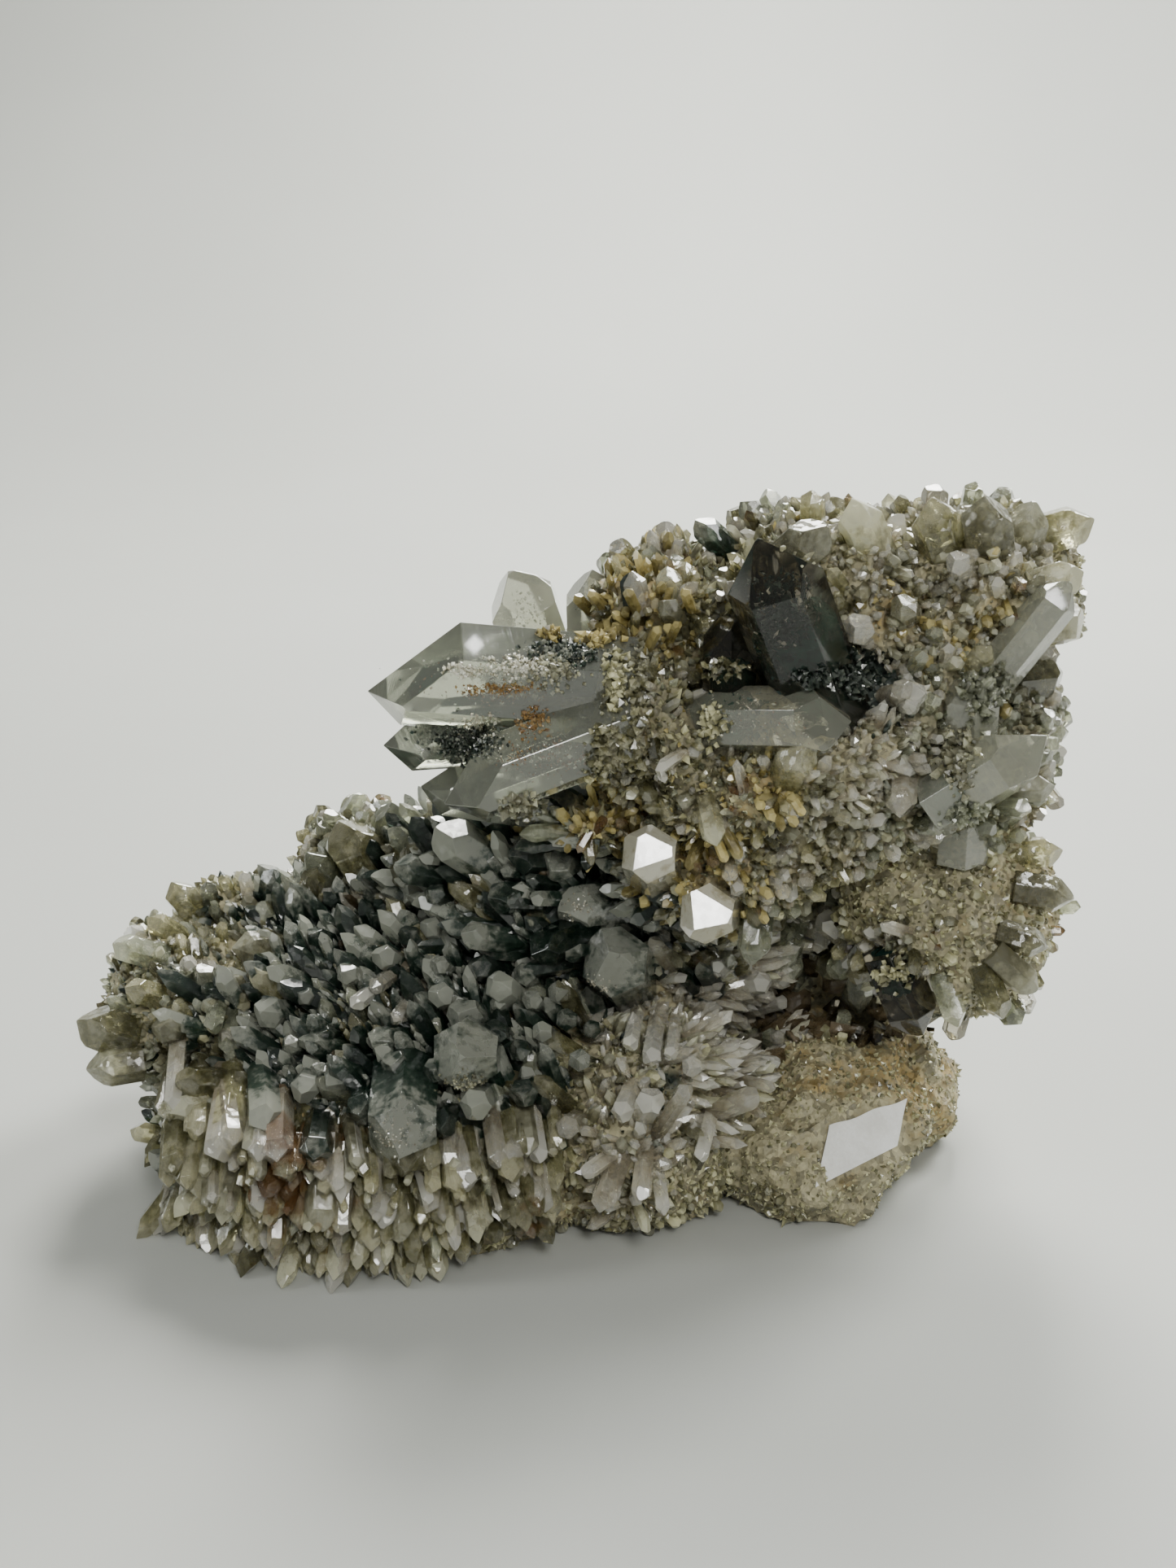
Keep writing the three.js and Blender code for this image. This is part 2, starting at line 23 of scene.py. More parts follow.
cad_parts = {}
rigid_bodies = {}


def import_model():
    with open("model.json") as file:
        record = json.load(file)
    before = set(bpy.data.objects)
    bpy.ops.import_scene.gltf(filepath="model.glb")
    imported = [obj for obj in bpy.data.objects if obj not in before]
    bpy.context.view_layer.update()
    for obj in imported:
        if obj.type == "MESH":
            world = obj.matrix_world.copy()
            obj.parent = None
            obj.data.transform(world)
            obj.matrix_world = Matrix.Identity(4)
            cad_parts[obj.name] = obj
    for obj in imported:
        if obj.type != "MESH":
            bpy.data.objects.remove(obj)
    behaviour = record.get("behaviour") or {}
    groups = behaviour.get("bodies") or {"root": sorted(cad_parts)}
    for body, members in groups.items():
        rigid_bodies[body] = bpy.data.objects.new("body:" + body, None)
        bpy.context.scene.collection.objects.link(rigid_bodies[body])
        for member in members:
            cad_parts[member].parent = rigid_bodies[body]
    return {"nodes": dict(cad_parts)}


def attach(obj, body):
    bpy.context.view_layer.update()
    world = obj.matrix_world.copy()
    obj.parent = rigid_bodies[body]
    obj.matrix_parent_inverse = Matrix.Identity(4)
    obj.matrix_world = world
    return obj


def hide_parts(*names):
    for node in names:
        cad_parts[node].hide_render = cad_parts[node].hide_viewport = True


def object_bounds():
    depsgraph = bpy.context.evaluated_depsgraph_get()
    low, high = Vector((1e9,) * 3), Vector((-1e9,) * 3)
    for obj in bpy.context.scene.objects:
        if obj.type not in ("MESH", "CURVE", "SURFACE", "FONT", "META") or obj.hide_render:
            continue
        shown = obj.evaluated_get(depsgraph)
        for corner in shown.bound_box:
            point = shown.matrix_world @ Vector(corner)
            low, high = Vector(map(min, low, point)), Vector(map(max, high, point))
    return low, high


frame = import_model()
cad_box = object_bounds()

SEEDS = {
    "noise": 4, "tints": 11, "rows": 7, "slender rows": 9, "fringe": 21, "cut points": 31,
    "ghosts": 41, "shapes": 100, "scatter": 77, "crust": 5, "grains": 83, "flake shape": 300,
    "flakes": 61,
}
noise.seed_set(SEEDS["noise"])
print("nodes:", ", ".join(sorted(frame["nodes"])))
print("packed size in mm:", [round(1000 * s, 1) for s in cad_box[1] - cad_box[0]])

# %% [markdown]
# ## Places
# A cluster has no straight edges to measure from, so each place is given as it is seen: u to the
# right and v down on a plane that faces the eye, and y, how far back it lies. One small function
# turns that into a point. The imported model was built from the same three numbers, so what is made
# here lands on it.

# %% From the sight plane to a point
MM = 0.001
EYE = np.array([0, -217.6, 123])
LOOK_DOWN = math.radians(18)
SIGHT_PLANE_DISTANCE = 232.6
SIGHT_PLANE_CENTRE = (72.25, 96.35)
SIGHT_DEPTHS = np.arange(-50, 50, 0.5)
BASE_MIDDLE = np.array([-1.1, 6, 0])
BOX_LOW, BOX_HIGH = (np.array(corner) / MM + BASE_MIDDLE for corner in cad_box)


def sight_ray(u, v):
    across = (u - SIGHT_PLANE_CENTRE[0]) / SIGHT_PLANE_DISTANCE
    down = (v - SIGHT_PLANE_CENTRE[1]) / SIGHT_PLANE_DISTANCE
    return np.array([
        across,
        math.cos(LOOK_DOWN) - down * math.sin(LOOK_DOWN),
        -math.sin(LOOK_DOWN) - down * math.cos(LOOK_DOWN),
    ])


def place(u, v, y):
    ray = sight_ray(u, v)
    return EYE + ray * (y - EYE[1]) / ray[1]


def seen_at(points):
    """The u and v of points, the inverse of place."""
    away = points - EYE
    forward = np.array([0, math.cos(LOOK_DOWN), -math.sin(LOOK_DOWN)])
    below = np.array([0, -math.sin(LOOK_DOWN), -math.cos(LOOK_DOWN)])
    depth = away @ forward
    u = SIGHT_PLANE_CENTRE[0] + SIGHT_PLANE_DISTANCE * away[:, 0] / depth
    v = SIGHT_PLANE_CENTRE[1] + SIGHT_PLANE_DISTANCE * (away @ below) / depth
    return u, v


print("middle of the view, 10 mm back:", place(*SIGHT_PLANE_CENTRE, 10).round(1))

# %% [markdown]
# ## Camera, floor and light
# The camera stands where the eye stood: about 24 cm in front, looking down by 18 degrees. The floor
# and the wall behind are one pale curved sheet, as in a photo studio, because a corner would draw a
# line behind the cluster. Quartz shows itself by what it mirrors, so the light comes from large soft
# panels: a pair like a window, high at the right and behind, and weaker ones at the left and front.

# %% Camera
SENSOR = 36
VIEW_HEIGHT = 192.7

scene = bpy.context.scene
camera_data = bpy.data.cameras.new("camera")
camera_data.sensor_width = SENSOR
camera_data.lens = SENSOR * SIGHT_PLANE_DISTANCE / VIEW_HEIGHT
camera_data.clip_start = 0.01
camera = bpy.data.objects.new("camera", camera_data)
camera.location = Vector((EYE - BASE_MIDDLE) * MM)
camera.rotation_euler = (math.radians(90) - LOOK_DOWN, 0, 0)
scene.collection.objects.link(camera)
scene.camera = camera
print("camera at", [round(c, 3) for c in camera.location], "lens", round(camera_data.lens, 2))

# %% Floor and wall, one swept sheet
FLOOR_FRONT, FLOOR_BACK, WALL_HEIGHT, SWEEP_RADIUS, FLOOR_HALF_WIDTH = -1.2, 0.75, 1.4, 0.35, 1.4
SWEEP_STEPS = 16


def mesh_from(bm, name):
    mesh = bpy.data.meshes.new(name)
    bm.to_mesh(mesh)
    bm.free()
    return mesh


def object_from(mesh):
    made = bpy.data.objects.new(mesh.name, mesh)
    scene.collection.objects.link(made)
    return made


def studio_sheet():
    bm = bmesh.new()
    turns = [math.pi / 2 * step / SWEEP_STEPS for step in range(SWEEP_STEPS + 1)]
    profile = [(FLOOR_FRONT, 0)] + [
        (FLOOR_BACK - SWEEP_RADIUS + SWEEP_RADIUS * math.sin(turn),
         SWEEP_RADIUS - SWEEP_RADIUS * math.cos(turn)) for turn in turns
    ] + [(FLOOR_BACK, WALL_HEIGHT)]
    line = [bm.verts.new((-FLOOR_HALF_WIDTH, y, z)) for y, z in profile]
    edges = [bm.edges.new(pair) for pair in zip(line, line[1:])]
    swept = bmesh.ops.extrude_edge_only(bm, edges=edges)
    moved = [item for item in swept["geom"] if isinstance(item, bmesh.types.BMVert)]
    bmesh.ops.translate(bm, verts=moved, vec=(2 * FLOOR_HALF_WIDTH, 0, 0))
    bmesh.ops.recalc_face_normals(bm, faces=bm.faces)
    for face in bm.faces:
        face.smooth = True
    return object_from(mesh_from(bm, "studio_sheet"))


studio = studio_sheet()
print("studio sheet:", len(studio.data.polygons), "faces")

# %% Light panels and the sky around them
LIGHT_PANELS = {
    # name: (place, aim, width, height, watts, colour), in metres
    "window_left_pane": ((0.06, 0.56, 0.6), (0, 0, 0.04), 0.26, 0.4, 10.2, (1.0, 0.995, 0.94)),
    "window_right_pane": ((0.5, 0.36, 0.6), (0, 0, 0.04), 0.26, 0.4, 9.6, (0.985, 1.0, 0.96)),
    "left_fill": ((-0.7, -0.2, 0.5), (0, 0, 0.03), 0.25, 0.35, 1.9, (0.96, 1.0, 0.98)),
    "front_fill": ((0.16, -0.62, 0.55), (0, 0, 0.04), 0.2, 0.26, 3.0, (1.0, 1.0, 0.95)),
}
SKY_COLOUR, SKY_STRENGTH = (0.92, 0.94, 0.9, 1), 0.2


def add_panel(name, at, aim, width, height, watts, colour):
    data = bpy.data.lights.new(name, "AREA")
    data.shape = "RECTANGLE"
    data.size, data.size_y = width, height
    data.energy = watts
    data.color = colour
    panel = bpy.data.objects.new(name, data)
    panel.location = at
    panel.rotation_euler = (Vector(aim) - Vector(at)).to_track_quat("-Z", "Y").to_euler()
    scene.collection.objects.link(panel)


for name, values in LIGHT_PANELS.items():
    add_panel(name, *values)
world = bpy.data.worlds.new("sky")
world.use_nodes = True
sky = world.node_tree.nodes["Background"]
sky.inputs["Color"].default_value = SKY_COLOUR
sky.inputs["Strength"].default_value = SKY_STRENGTH
scene.world = world
print("light panels:", ", ".join(LIGHT_PANELS))

# %% [markdown]
# ## Effects that the materials share
# Four effects come back in nearly every finish: the change of colour from a crystal's root to its
# tip, a cloud of chlorite specks, rust stains, and fine grit that catches the light. Each is a node
# group with named inputs, built once. The groups give colours, masks and heights, and each material
# keeps its own shader.

# %% A helper for node trees
def fill(tree, node, inputs):
    """Gives the inputs of a node their links or their plain values."""
    for key, value in dict(inputs).items():
        if isinstance(value, bpy.types.NodeSocket):
            tree.links.new(value, node.inputs[key])
        else:
            node.inputs[key].default_value = value
    return node


def add_node(tree, kind, inputs=(), **settings):
    node = tree.nodes.new(kind)
    for key, value in settings.items():
        setattr(node, key, value)
    return fill(tree, node, inputs)


def new_group(name, inputs, outputs):
    tree = bpy.data.node_groups.new(name, "ShaderNodeTree")
    kinds = {"f": "NodeSocketFloat", "c": "NodeSocketColor", "v": "NodeSocketVector"}
    for direction, sockets in (("INPUT", inputs), ("OUTPUT", outputs)):
        for socket, kind in sockets.items():
            tree.interface.new_socket(socket, in_out=direction, socket_type=kinds[kind])
    return tree, tree.nodes.new("NodeGroupInput").outputs, tree.nodes.new("NodeGroupOutput")


def math_node(tree, operation, first, second=0.0, clamp=False):
    return add_node(
        tree, "ShaderNodeMath", {0: first, 1: second}, operation=operation, use_clamp=clamp
    ).outputs[0]


def times(tree, first, second):
    return math_node(tree, "MULTIPLY", first, second)


def plus(tree, first, second, clamp=False):
    return math_node(tree, "ADD", first, second, clamp)


def scaled(tree, vector, factor):
    return add_node(
        tree, "ShaderNodeVectorMath", {0: vector, "Scale": factor}, operation="SCALE"
    ).outputs[0]


def mixed(tree, factor, first, second):
    made = add_node(tree, "ShaderNodeMix", {0: factor, 6: first, 7: second}, data_type="RGBA")
    return made.outputs[2]


def ranged(tree, value, low, high, start=0.0, end=1.0):
    """The value, which goes from start to end, brought to between low and high."""
    return add_node(
        tree, "ShaderNodeMapRange", {0: value, 1: start, 2: end, 3: low, 4: high}
    ).outputs[0]


def stepped(tree, value, low, high):
    """0 below low, 1 above high and smooth between."""
    return add_node(
        tree, "ShaderNodeMapRange", {0: value, 1: low, 2: high}, interpolation_type="SMOOTHSTEP"
    ).outputs[0]


def noise_value(tree, position, size, detail=3.0, rough=0.6):
    """Cloudy noise whose lumps are about size millimetres across."""
    return add_node(tree, "ShaderNodeTexNoise", {
        "Vector": position, "Scale": math_node(tree, "DIVIDE", 1 / MM, size), "Detail": detail,
        "Roughness": rough,
    }).outputs["Fac"]


print("helpers for node trees are ready")

# %% The four groups
BLOTCH_SIZE = 1.6
COLOUR_STEPS = (0.1, 0.55), (0.5, 0.95)
FINE_SPECKS, FINE_SHARE = 0.12, 0.45
SPECK_EDGE, SPECK_SOFTNESS = 1.25, 0.12
RUST_EDGE, RUST_GAIN, RUST_SOFTNESS = 0.85, 0.55, 0.14


def make_growth_colour():
    tree, given, result = new_group(
        "growth colour",
        {"Position": "v", "Growth": "f", "Tint": "f", "Blotch": "f", "Root": "c", "Middle": "c",
         "Tip": "c", "Spread": "f", "Shift": "f"},
        {"Color": "c"},
    )
    clouds = math_node(tree, "SUBTRACT", noise_value(tree, given["Position"], BLOTCH_SIZE, 4.0, 0.65),
                       0.5)
    centred = math_node(tree, "SUBTRACT", given["Tint"], 0.5)
    moved = plus(tree, times(tree, clouds, given["Blotch"]), times(tree, centred, given["Shift"]))
    level = plus(tree, given["Growth"], moved)
    lower = mixed(tree, stepped(tree, level, *COLOUR_STEPS[0]), given["Root"], given["Middle"])
    upper = mixed(tree, stepped(tree, level, *COLOUR_STEPS[1]), lower, given["Tip"])
    gain = plus(tree, times(tree, centred, given["Spread"]), 1.0)
    fill(tree, result, {"Color": scaled(tree, upper, gain)})
    return tree


def make_specks():
    tree, given, result = new_group(
        "chlorite specks", {"Position": "v", "Size": "f", "Cover": "f"}, {"Mask": "f"}
    )
    coarse = noise_value(tree, given["Position"], given["Size"], 4.0, 0.7)
    fine_size = times(tree, given["Size"], FINE_SPECKS)
    fine = noise_value(tree, given["Position"], fine_size, 2.0, 0.6)
    both = plus(tree, coarse, times(tree, fine, FINE_SHARE))
    edge = math_node(tree, "SUBTRACT", SPECK_EDGE, given["Cover"])
    fill(tree, result, {"Mask": stepped(tree, both, edge, plus(tree, edge, SPECK_SOFTNESS))})
    return tree


def make_rust():
    tree, given, result = new_group(
        "rust stain", {"Position": "v", "Size": "f", "Amount": "f"}, {"Mask": "f"}
    )
    patches = noise_value(tree, given["Position"], given["Size"], 5.0, 0.65)
    edge = math_node(tree, "SUBTRACT", RUST_EDGE, times(tree, given["Amount"], RUST_GAIN))
    fill(tree, result, {"Mask": stepped(tree, patches, edge, plus(tree, edge, RUST_SOFTNESS))})
    return tree


def make_grit():
    tree, given, result = new_group(
        "fine grit", {"Position": "v", "Size": "f"}, {"Height": "f", "Value": "f", "Facets": "f"}
    )
    scale = math_node(tree, "DIVIDE", 1 / MM, given["Size"])
    cells = add_node(
        tree, "ShaderNodeTexVoronoi",
        {"Vector": given["Position"], "Scale": scale, "Randomness": 1.0}, feature="F1",
    ).outputs
    soft = noise_value(tree, given["Position"], given["Size"], 4.0, 0.7)
    value = add_node(tree, "ShaderNodeSeparateColor", {"Color": cells["Color"]})
    off = add_node(tree, "ShaderNodeVectorMath", {0: given["Position"], 1: cells["Position"]},
                   operation="SUBTRACT")
    slope = add_node(tree, "ShaderNodeVectorMath", {0: cells["Color"], 1: (0.5, 0.5, 0.5)},
                     operation="SUBTRACT")
    facets = add_node(tree, "ShaderNodeVectorMath",
                      {0: scaled(tree, off.outputs[0], scale), 1: slope.outputs[0]},
                      operation="DOT_PRODUCT")
    fill(tree, result, {
        "Height": plus(tree, cells["Distance"], soft), "Value": value.outputs["Red"],
        "Facets": facets.outputs["Value"],
    })
    return tree


GROUPS = {
    "growth": make_growth_colour(), "specks": make_specks(), "rust": make_rust(),
    "grit": make_grit(),
}
print("node groups:", ", ".join(tree.name for tree in GROUPS.values()))

# %% A helper that puts a group or a shader in a material
QUARTZ_IOR = 1.544


def group_node(tree, key, inputs):
    made = tree.nodes.new("ShaderNodeGroup")
    made.node_tree = GROUPS[key]
    return fill(tree, made, inputs).outputs


def start_material(name):
    material = bpy.data.materials.new(name)
    material.use_nodes = True
    tree = material.node_tree
    position = tree.nodes.new("ShaderNodeTexCoord").outputs["Object"]
    return material, tree, tree.nodes["Principled BSDF"], position


def mesh_values(tree, attribute):
    """The three values that a mesh keeps in a colour attribute."""
    read = add_node(tree, "ShaderNodeAttribute", attribute_name=attribute)
    split = add_node(tree, "ShaderNodeSeparateColor", {"Color": read.outputs["Color"]})
    return split.outputs["Red"], split.outputs["Green"], split.outputs["Blue"]


def bumped(tree, height, strength, distance):
    return add_node(
        tree, "ShaderNodeBump", {"Height": height, "Strength": strength, "Distance": distance * MM}
    ).outputs["Normal"]


print("helpers for materials are ready")

# %% [markdown]
# ## The finish of small crystals
# From a step away the crust reads as many finishes: grey frosted tips over black-green roots in the
# hollow, beige sugar at the left end, clear pinkish prisms at the right of the plate, olive columns
# along the front, mustard points under the block. They are all quartz with more or less inside, so
# one function makes them, and a table gives each its three colours, how much light goes through it,
# how rough it is and how rusty. Light passes small crystals only a little, so their shader mixes a
# coloured body with some plain transmission.

# %% Small-crystal finishes
FROSTED, SUGAR, CLEAR, OLIVE, OCHRE, KHAKI, BROWN, GREY_GREEN, BEIGE, BLACK, WHITE = (
    "frosted_quartz", "sugar_quartz", "clear_small_quartz", "olive_quartz", "ochre_quartz",
    "khaki_crust", "brown_quartz", "grey_green_quartz", "beige_quartz", "black_quartz",
    "white_quartz",
)
CRYSTAL_FINISHES = {
    # name: root, middle and tip colours, then spread of tints, blotches, transmission, roughness,
    # rust, specks, grain, coat and, where chlorite crystals are dusted white, frost
    FROSTED: (
        (0.006, 0.021, 0.013), (0.035, 0.064, 0.045), (0.44, 0.455, 0.385),
        0.8, 1.8, 0.62, (0.06, 0.35), 0.0, 0.3, 0.25, 0.5, 0.34),
    SUGAR: (
        (0.24, 0.225, 0.13), (0.5, 0.48, 0.32), (0.8, 0.79, 0.6),
        0.8, 2.4, 0.7, (0.12, 0.4), 0.15, 0.12, 0.4, 0.2, 0.0),
    CLEAR: (
        (0.58, 0.51, 0.37), (0.93, 0.88, 0.72), (0.99, 0.97, 0.88),
        0.5, 1.8, 0.73, (0.02, 0.1), 0.2, 0.06, 0.2, 0.5, 0.0),
    OLIVE: (
        (0.17, 0.16, 0.075), (0.4, 0.38, 0.2), (0.7, 0.67, 0.46),
        0.9, 2.6, 0.76, (0.03, 0.2), 0.34, 0.25, 0.3, 0.5, 0.0),
    OCHRE: (
        (0.2, 0.155, 0.045), (0.48, 0.39, 0.14), (0.68, 0.58, 0.26),
        0.9, 2.4, 0.45, (0.1, 0.4), 0.0, 0.2, 0.5, 0.5, 0.0),
    KHAKI: (
        (0.2, 0.19, 0.095), (0.4, 0.38, 0.205), (0.62, 0.6, 0.38),
        1.0, 2.0, 0.35, (0.15, 0.5), 0.15, 0.15, 0.6, 0.5, 0.0),
    BROWN: (
        (0.03, 0.021, 0.01), (0.09, 0.064, 0.03), (0.2, 0.15, 0.085),
        0.8, 3.0, 0.6, (0.06, 0.25), 0.0, 0.3, 0.3, 0.5, 0.0),
    GREY_GREEN: (
        (0.19, 0.205, 0.125), (0.5, 0.52, 0.37), (0.78, 0.8, 0.63),
        0.7, 2.2, 0.76, (0.03, 0.22), 0.1, 0.3, 0.3, 0.5, 0.0),
    BEIGE: (
        (0.3, 0.27, 0.16), (0.55, 0.51, 0.36), (0.86, 0.83, 0.68),
        0.4, 2.0, 0.5, (0.08, 0.25), 0.25, 0.15, 0.15, 1.0, 0.0),
    BLACK: (
        (0.005, 0.012, 0.008), (0.018, 0.028, 0.02), (0.085, 0.1, 0.08),
        0.8, 1.6, 0.4, (0.06, 0.3), 0.0, 0.3, 0.3, 0.3, 0.0),
    WHITE: (
        (0.42, 0.39, 0.26), (0.76, 0.73, 0.58), (0.96, 0.95, 0.86),
        0.3, 1.2, 0.3, (0.08, 0.25), 0.1, 0.1, 0.1, 0.5, 0.0),
}
SPECK_COLOUR = (0.008, 0.017, 0.012, 1)
RUST_COLOUR = (0.30, 0.125, 0.035, 1)
FROST_COLOUR = (0.55, 0.56, 0.49, 1)
SPECK_SIZE, RUST_SIZE, FROST_SIZE = 2.5, 7.0, 0.9
FACET_SIZE, FACET_DEPTH = 0.7, 0.45
SHIFT, FROSTED_SHIFT, RUST_VEIL = 0.5, 0.9, 0.7
SHINE_STEP = 7.3
GLOSS = 0.03


def crystal_material(name, root, middle, tip, spread, blotch, clear, rough, rust, specks, grain,
                     coat, frost):
    material, tree, shader, position = start_material(name)
    growth, tint, stain = mesh_values(tree, "growth")
    colour = group_node(tree, "growth", {
        "Position": position, "Growth": growth, "Tint": tint, "Blotch": blotch,
        "Root": (*root, 1), "Middle": (*middle, 1), "Tip": (*tip, 1), "Spread": spread,
        "Shift": FROSTED_SHIFT if frost else SHIFT,
    })["Color"]
    clouds = [(SPECK_SIZE, specks, SPECK_COLOUR)]
    if frost:
        clouds.append((FROST_SIZE, frost, FROST_COLOUR))
    for size, cover, cloud_colour in clouds:
        mask = group_node(tree, "specks", {"Position": position, "Size": size, "Cover": cover})
        colour = mixed(tree, mask["Mask"], colour, cloud_colour)
    amount = plus(tree, stain, rust)
    rusty = group_node(tree, "rust", {"Position": position, "Size": RUST_SIZE, "Amount": amount})
    colour = mixed(tree, times(tree, rusty["Mask"], RUST_VEIL), colour, RUST_COLOUR)
    shine = math_node(tree, "FRACT", times(tree, tint, SHINE_STEP))
    grit = group_node(tree, "grit", {"Position": position, "Size": FACET_SIZE})
    fill(tree, shader, {
        "Base Color": colour, "Roughness": ranged(tree, shine, *rough),
        "Transmission Weight": clear, "IOR": QUARTZ_IOR, "Coat Weight": coat,
        "Coat Roughness": GLOSS, "Normal": bumped(tree, grit["Facets"], grain, FACET_DEPTH),
    })
    return material


finishes = {name: crystal_material(name, *values) for name, values in CRYSTAL_FINISHES.items()}
print("crystal finishes:", ", ".join(finishes))

# %% [markdown]
# ## The finish of the rock
# The rock between the crystals is a fine crust: black-green where chlorite lies thick, khaki on the
# foot, ochre where iron has stained it, and glassy brown inside the recess. Three masks that change
# over the surface are kept on the mesh, and the material mixes its colours by them. The grain is a
# cell pattern, since the crust is made of grains.

# %% Rock material
ROCK_COLOURS = {
    "olive": (0.15, 0.135, 0.08, 1), "pale": (0.40, 0.365, 0.235, 1),
    "chlorite": (0.012, 0.020, 0.015, 1), "iron": (0.28, 0.20, 0.075, 1),
}
PATCH_SIZE, GRAIN_SIZE, TILTED_GRAIN_SIZE = 4.0, 0.7, 0.8
IRON_BY_PATCH, GREEN_BY_PATCH = -0.8, 0.7
IRON_EDGE, GREEN_EDGE = (0.3, 0.8), (0.25, 0.75)
GRAIN_BRIGHTNESS, ROCK_ROUGHNESS = (0.55, 1.5), (0.35, 0.85)
GRAIN_SHARE, GRAIN_BUMP, GRAIN_DEPTH = 0.3, 0.8, 0.45


def rock_material():
    material, tree, shader, position = start_material("crusted_rock")
    chlorite, iron, pale = mesh_values(tree, "ground")
    coarse = noise_value(tree, position, PATCH_SIZE, 5.0, 0.65)
    uneven = ranged(tree, coarse, -0.35, 0.35, 0.3, 0.7)
    pale = plus(tree, pale, uneven, clamp=True)
    colour = mixed(tree, pale, ROCK_COLOURS["olive"], ROCK_COLOURS["pale"])
    iron = stepped(tree, plus(tree, iron, times(tree, uneven, IRON_BY_PATCH)), *IRON_EDGE)
    colour = mixed(tree, iron, colour, ROCK_COLOURS["iron"])
    green = stepped(tree, plus(tree, chlorite, times(tree, uneven, GREEN_BY_PATCH)), *GREEN_EDGE)
    colour = mixed(tree, green, colour, ROCK_COLOURS["chlorite"])
    grit = group_node(tree, "grit", {"Position": position, "Size": GRAIN_SIZE})
    tilted = group_node(tree, "grit", {"Position": position, "Size": TILTED_GRAIN_SIZE})
    height = plus(tree, tilted["Facets"], times(tree, grit["Height"], GRAIN_SHARE))
    fill(tree, shader, {
        "Base Color": scaled(tree, colour, ranged(tree, grit["Value"], *GRAIN_BRIGHTNESS)),
        "Roughness": ranged(tree, grit["Value"], *ROCK_ROUGHNESS),
        "Normal": bumped(tree, height, GRAIN_BUMP, GRAIN_DEPTH),
    })
    return material


finishes["crusted_rock"] = rock_material()
print("rock finish is ready")

# %% [markdown]
# ## Clear quartz, and what is inside it
# The large crystals are glassy. Their shader lets nearly all light through, has the refractive index
# of quartz, and absorbs a little, which turns a thick crystal olive-grey or smoky. Growth lines run
# across the side faces of real quartz, and here they are a weak bump along an attribute that holds
# the distance from the root, so that they follow each crystal. The green ghosts inside are bodies of
# their own, whose edge breaks up into specks through their alpha.

# %% Glass, ghost and paper
GLASSES = {
    # name: tint, what it absorbs and how strongly, roughness, growth lines, coat, transmission and
    # how much its faces mirror
    "clear_quartz": ((0.54, 0.56, 0.465), (0.5, 0.53, 0.4), 40, (0.06, 0.28), 0.2, 1.0, 0.86, 0.5),
    "smoky_quartz": ((0.40, 0.37, 0.30), (0.5, 0.46, 0.36), 60, (0.02, 0.12), 0.06, 0.0, 0.99, 0.12),
    "milky_quartz": ((0.70, 0.71, 0.585), (0.6, 0.6, 0.46), 30, (0.1, 0.32), 0.5, 1.0, 0.76, 0.5),
    "pale_quartz": ((0.86, 0.85, 0.68), (0.6, 0.6, 0.46), 25, (0.03, 0.14), 0.1, 0.8, 0.88, 0.5),
}
LINE_SPACING, LINE_WOBBLE, LINE_DEPTH = 0.35, 5.0, 0.08
GHOST_COLOURS = {"Root": (0.004, 0.016, 0.012, 1), "Middle": (0.005, 0.034, 0.025, 1),
                 "Tip": (0.010, 0.062, 0.046, 1)}
DUST_COLOUR = (0.32, 0.34, 0.31, 1)
FLAKE_COLOURS = {"white": (0.86, 0.86, 0.80, 1), "rust": (0.22, 0.10, 0.045, 1),
                 "chlorite": (0.007, 0.030, 0.022, 1)}
CRACK_COLOURS = (0.52, 0.52, 0.44, 1), (0.82, 0.82, 0.77, 1)
PAPER_COLOURS = (0.76, 0.75, 0.71, 1), (0.92, 0.92, 0.9, 1)
STUDIO_COLOURS = (0.41, 0.42, 0.395, 1), (0.465, 0.475, 0.45, 1)


def glass_material(name, colour, absorbed, density, rough, line_strength, coat, clear, mirroring):
    material, tree, shader, position = start_material(name)
    along = add_node(tree, "ShaderNodeAttribute", attribute_name="along").outputs["Fac"]
    wobble = noise_value(tree, position, 6.0, 2.0, 0.5)
    lines = plus(tree, math_node(tree, "DIVIDE", along, LINE_SPACING),
                 times(tree, wobble, LINE_WOBBLE))
    strip = add_node(tree, "ShaderNodeCombineXYZ", {0: lines})
    ridges = add_node(tree, "ShaderNodeTexNoise",
                      {"Vector": strip.outputs[0], "Scale": 1.0, "Detail": 2.0})
    veil = noise_value(tree, position, 3.0, 4.0, 0.6)
    fill(tree, shader, {
        "Base Color": (*colour, 1), "Roughness": ranged(tree, veil, *rough, 0.4, 0.75),
        "Transmission Weight": clear, "IOR": QUARTZ_IOR, "Specular IOR Level": mirroring,
        "Coat Weight": coat, "Coat Roughness": GLOSS,
        "Normal": bumped(tree, ridges.outputs["Fac"], line_strength, LINE_DEPTH),
    })
    body = add_node(tree, "ShaderNodeVolumeAbsorption",
                    {"Color": (*absorbed, 1), "Density": density})
    fill(tree, tree.nodes["Material Output"], {"Volume": body.outputs[0]})
    return material


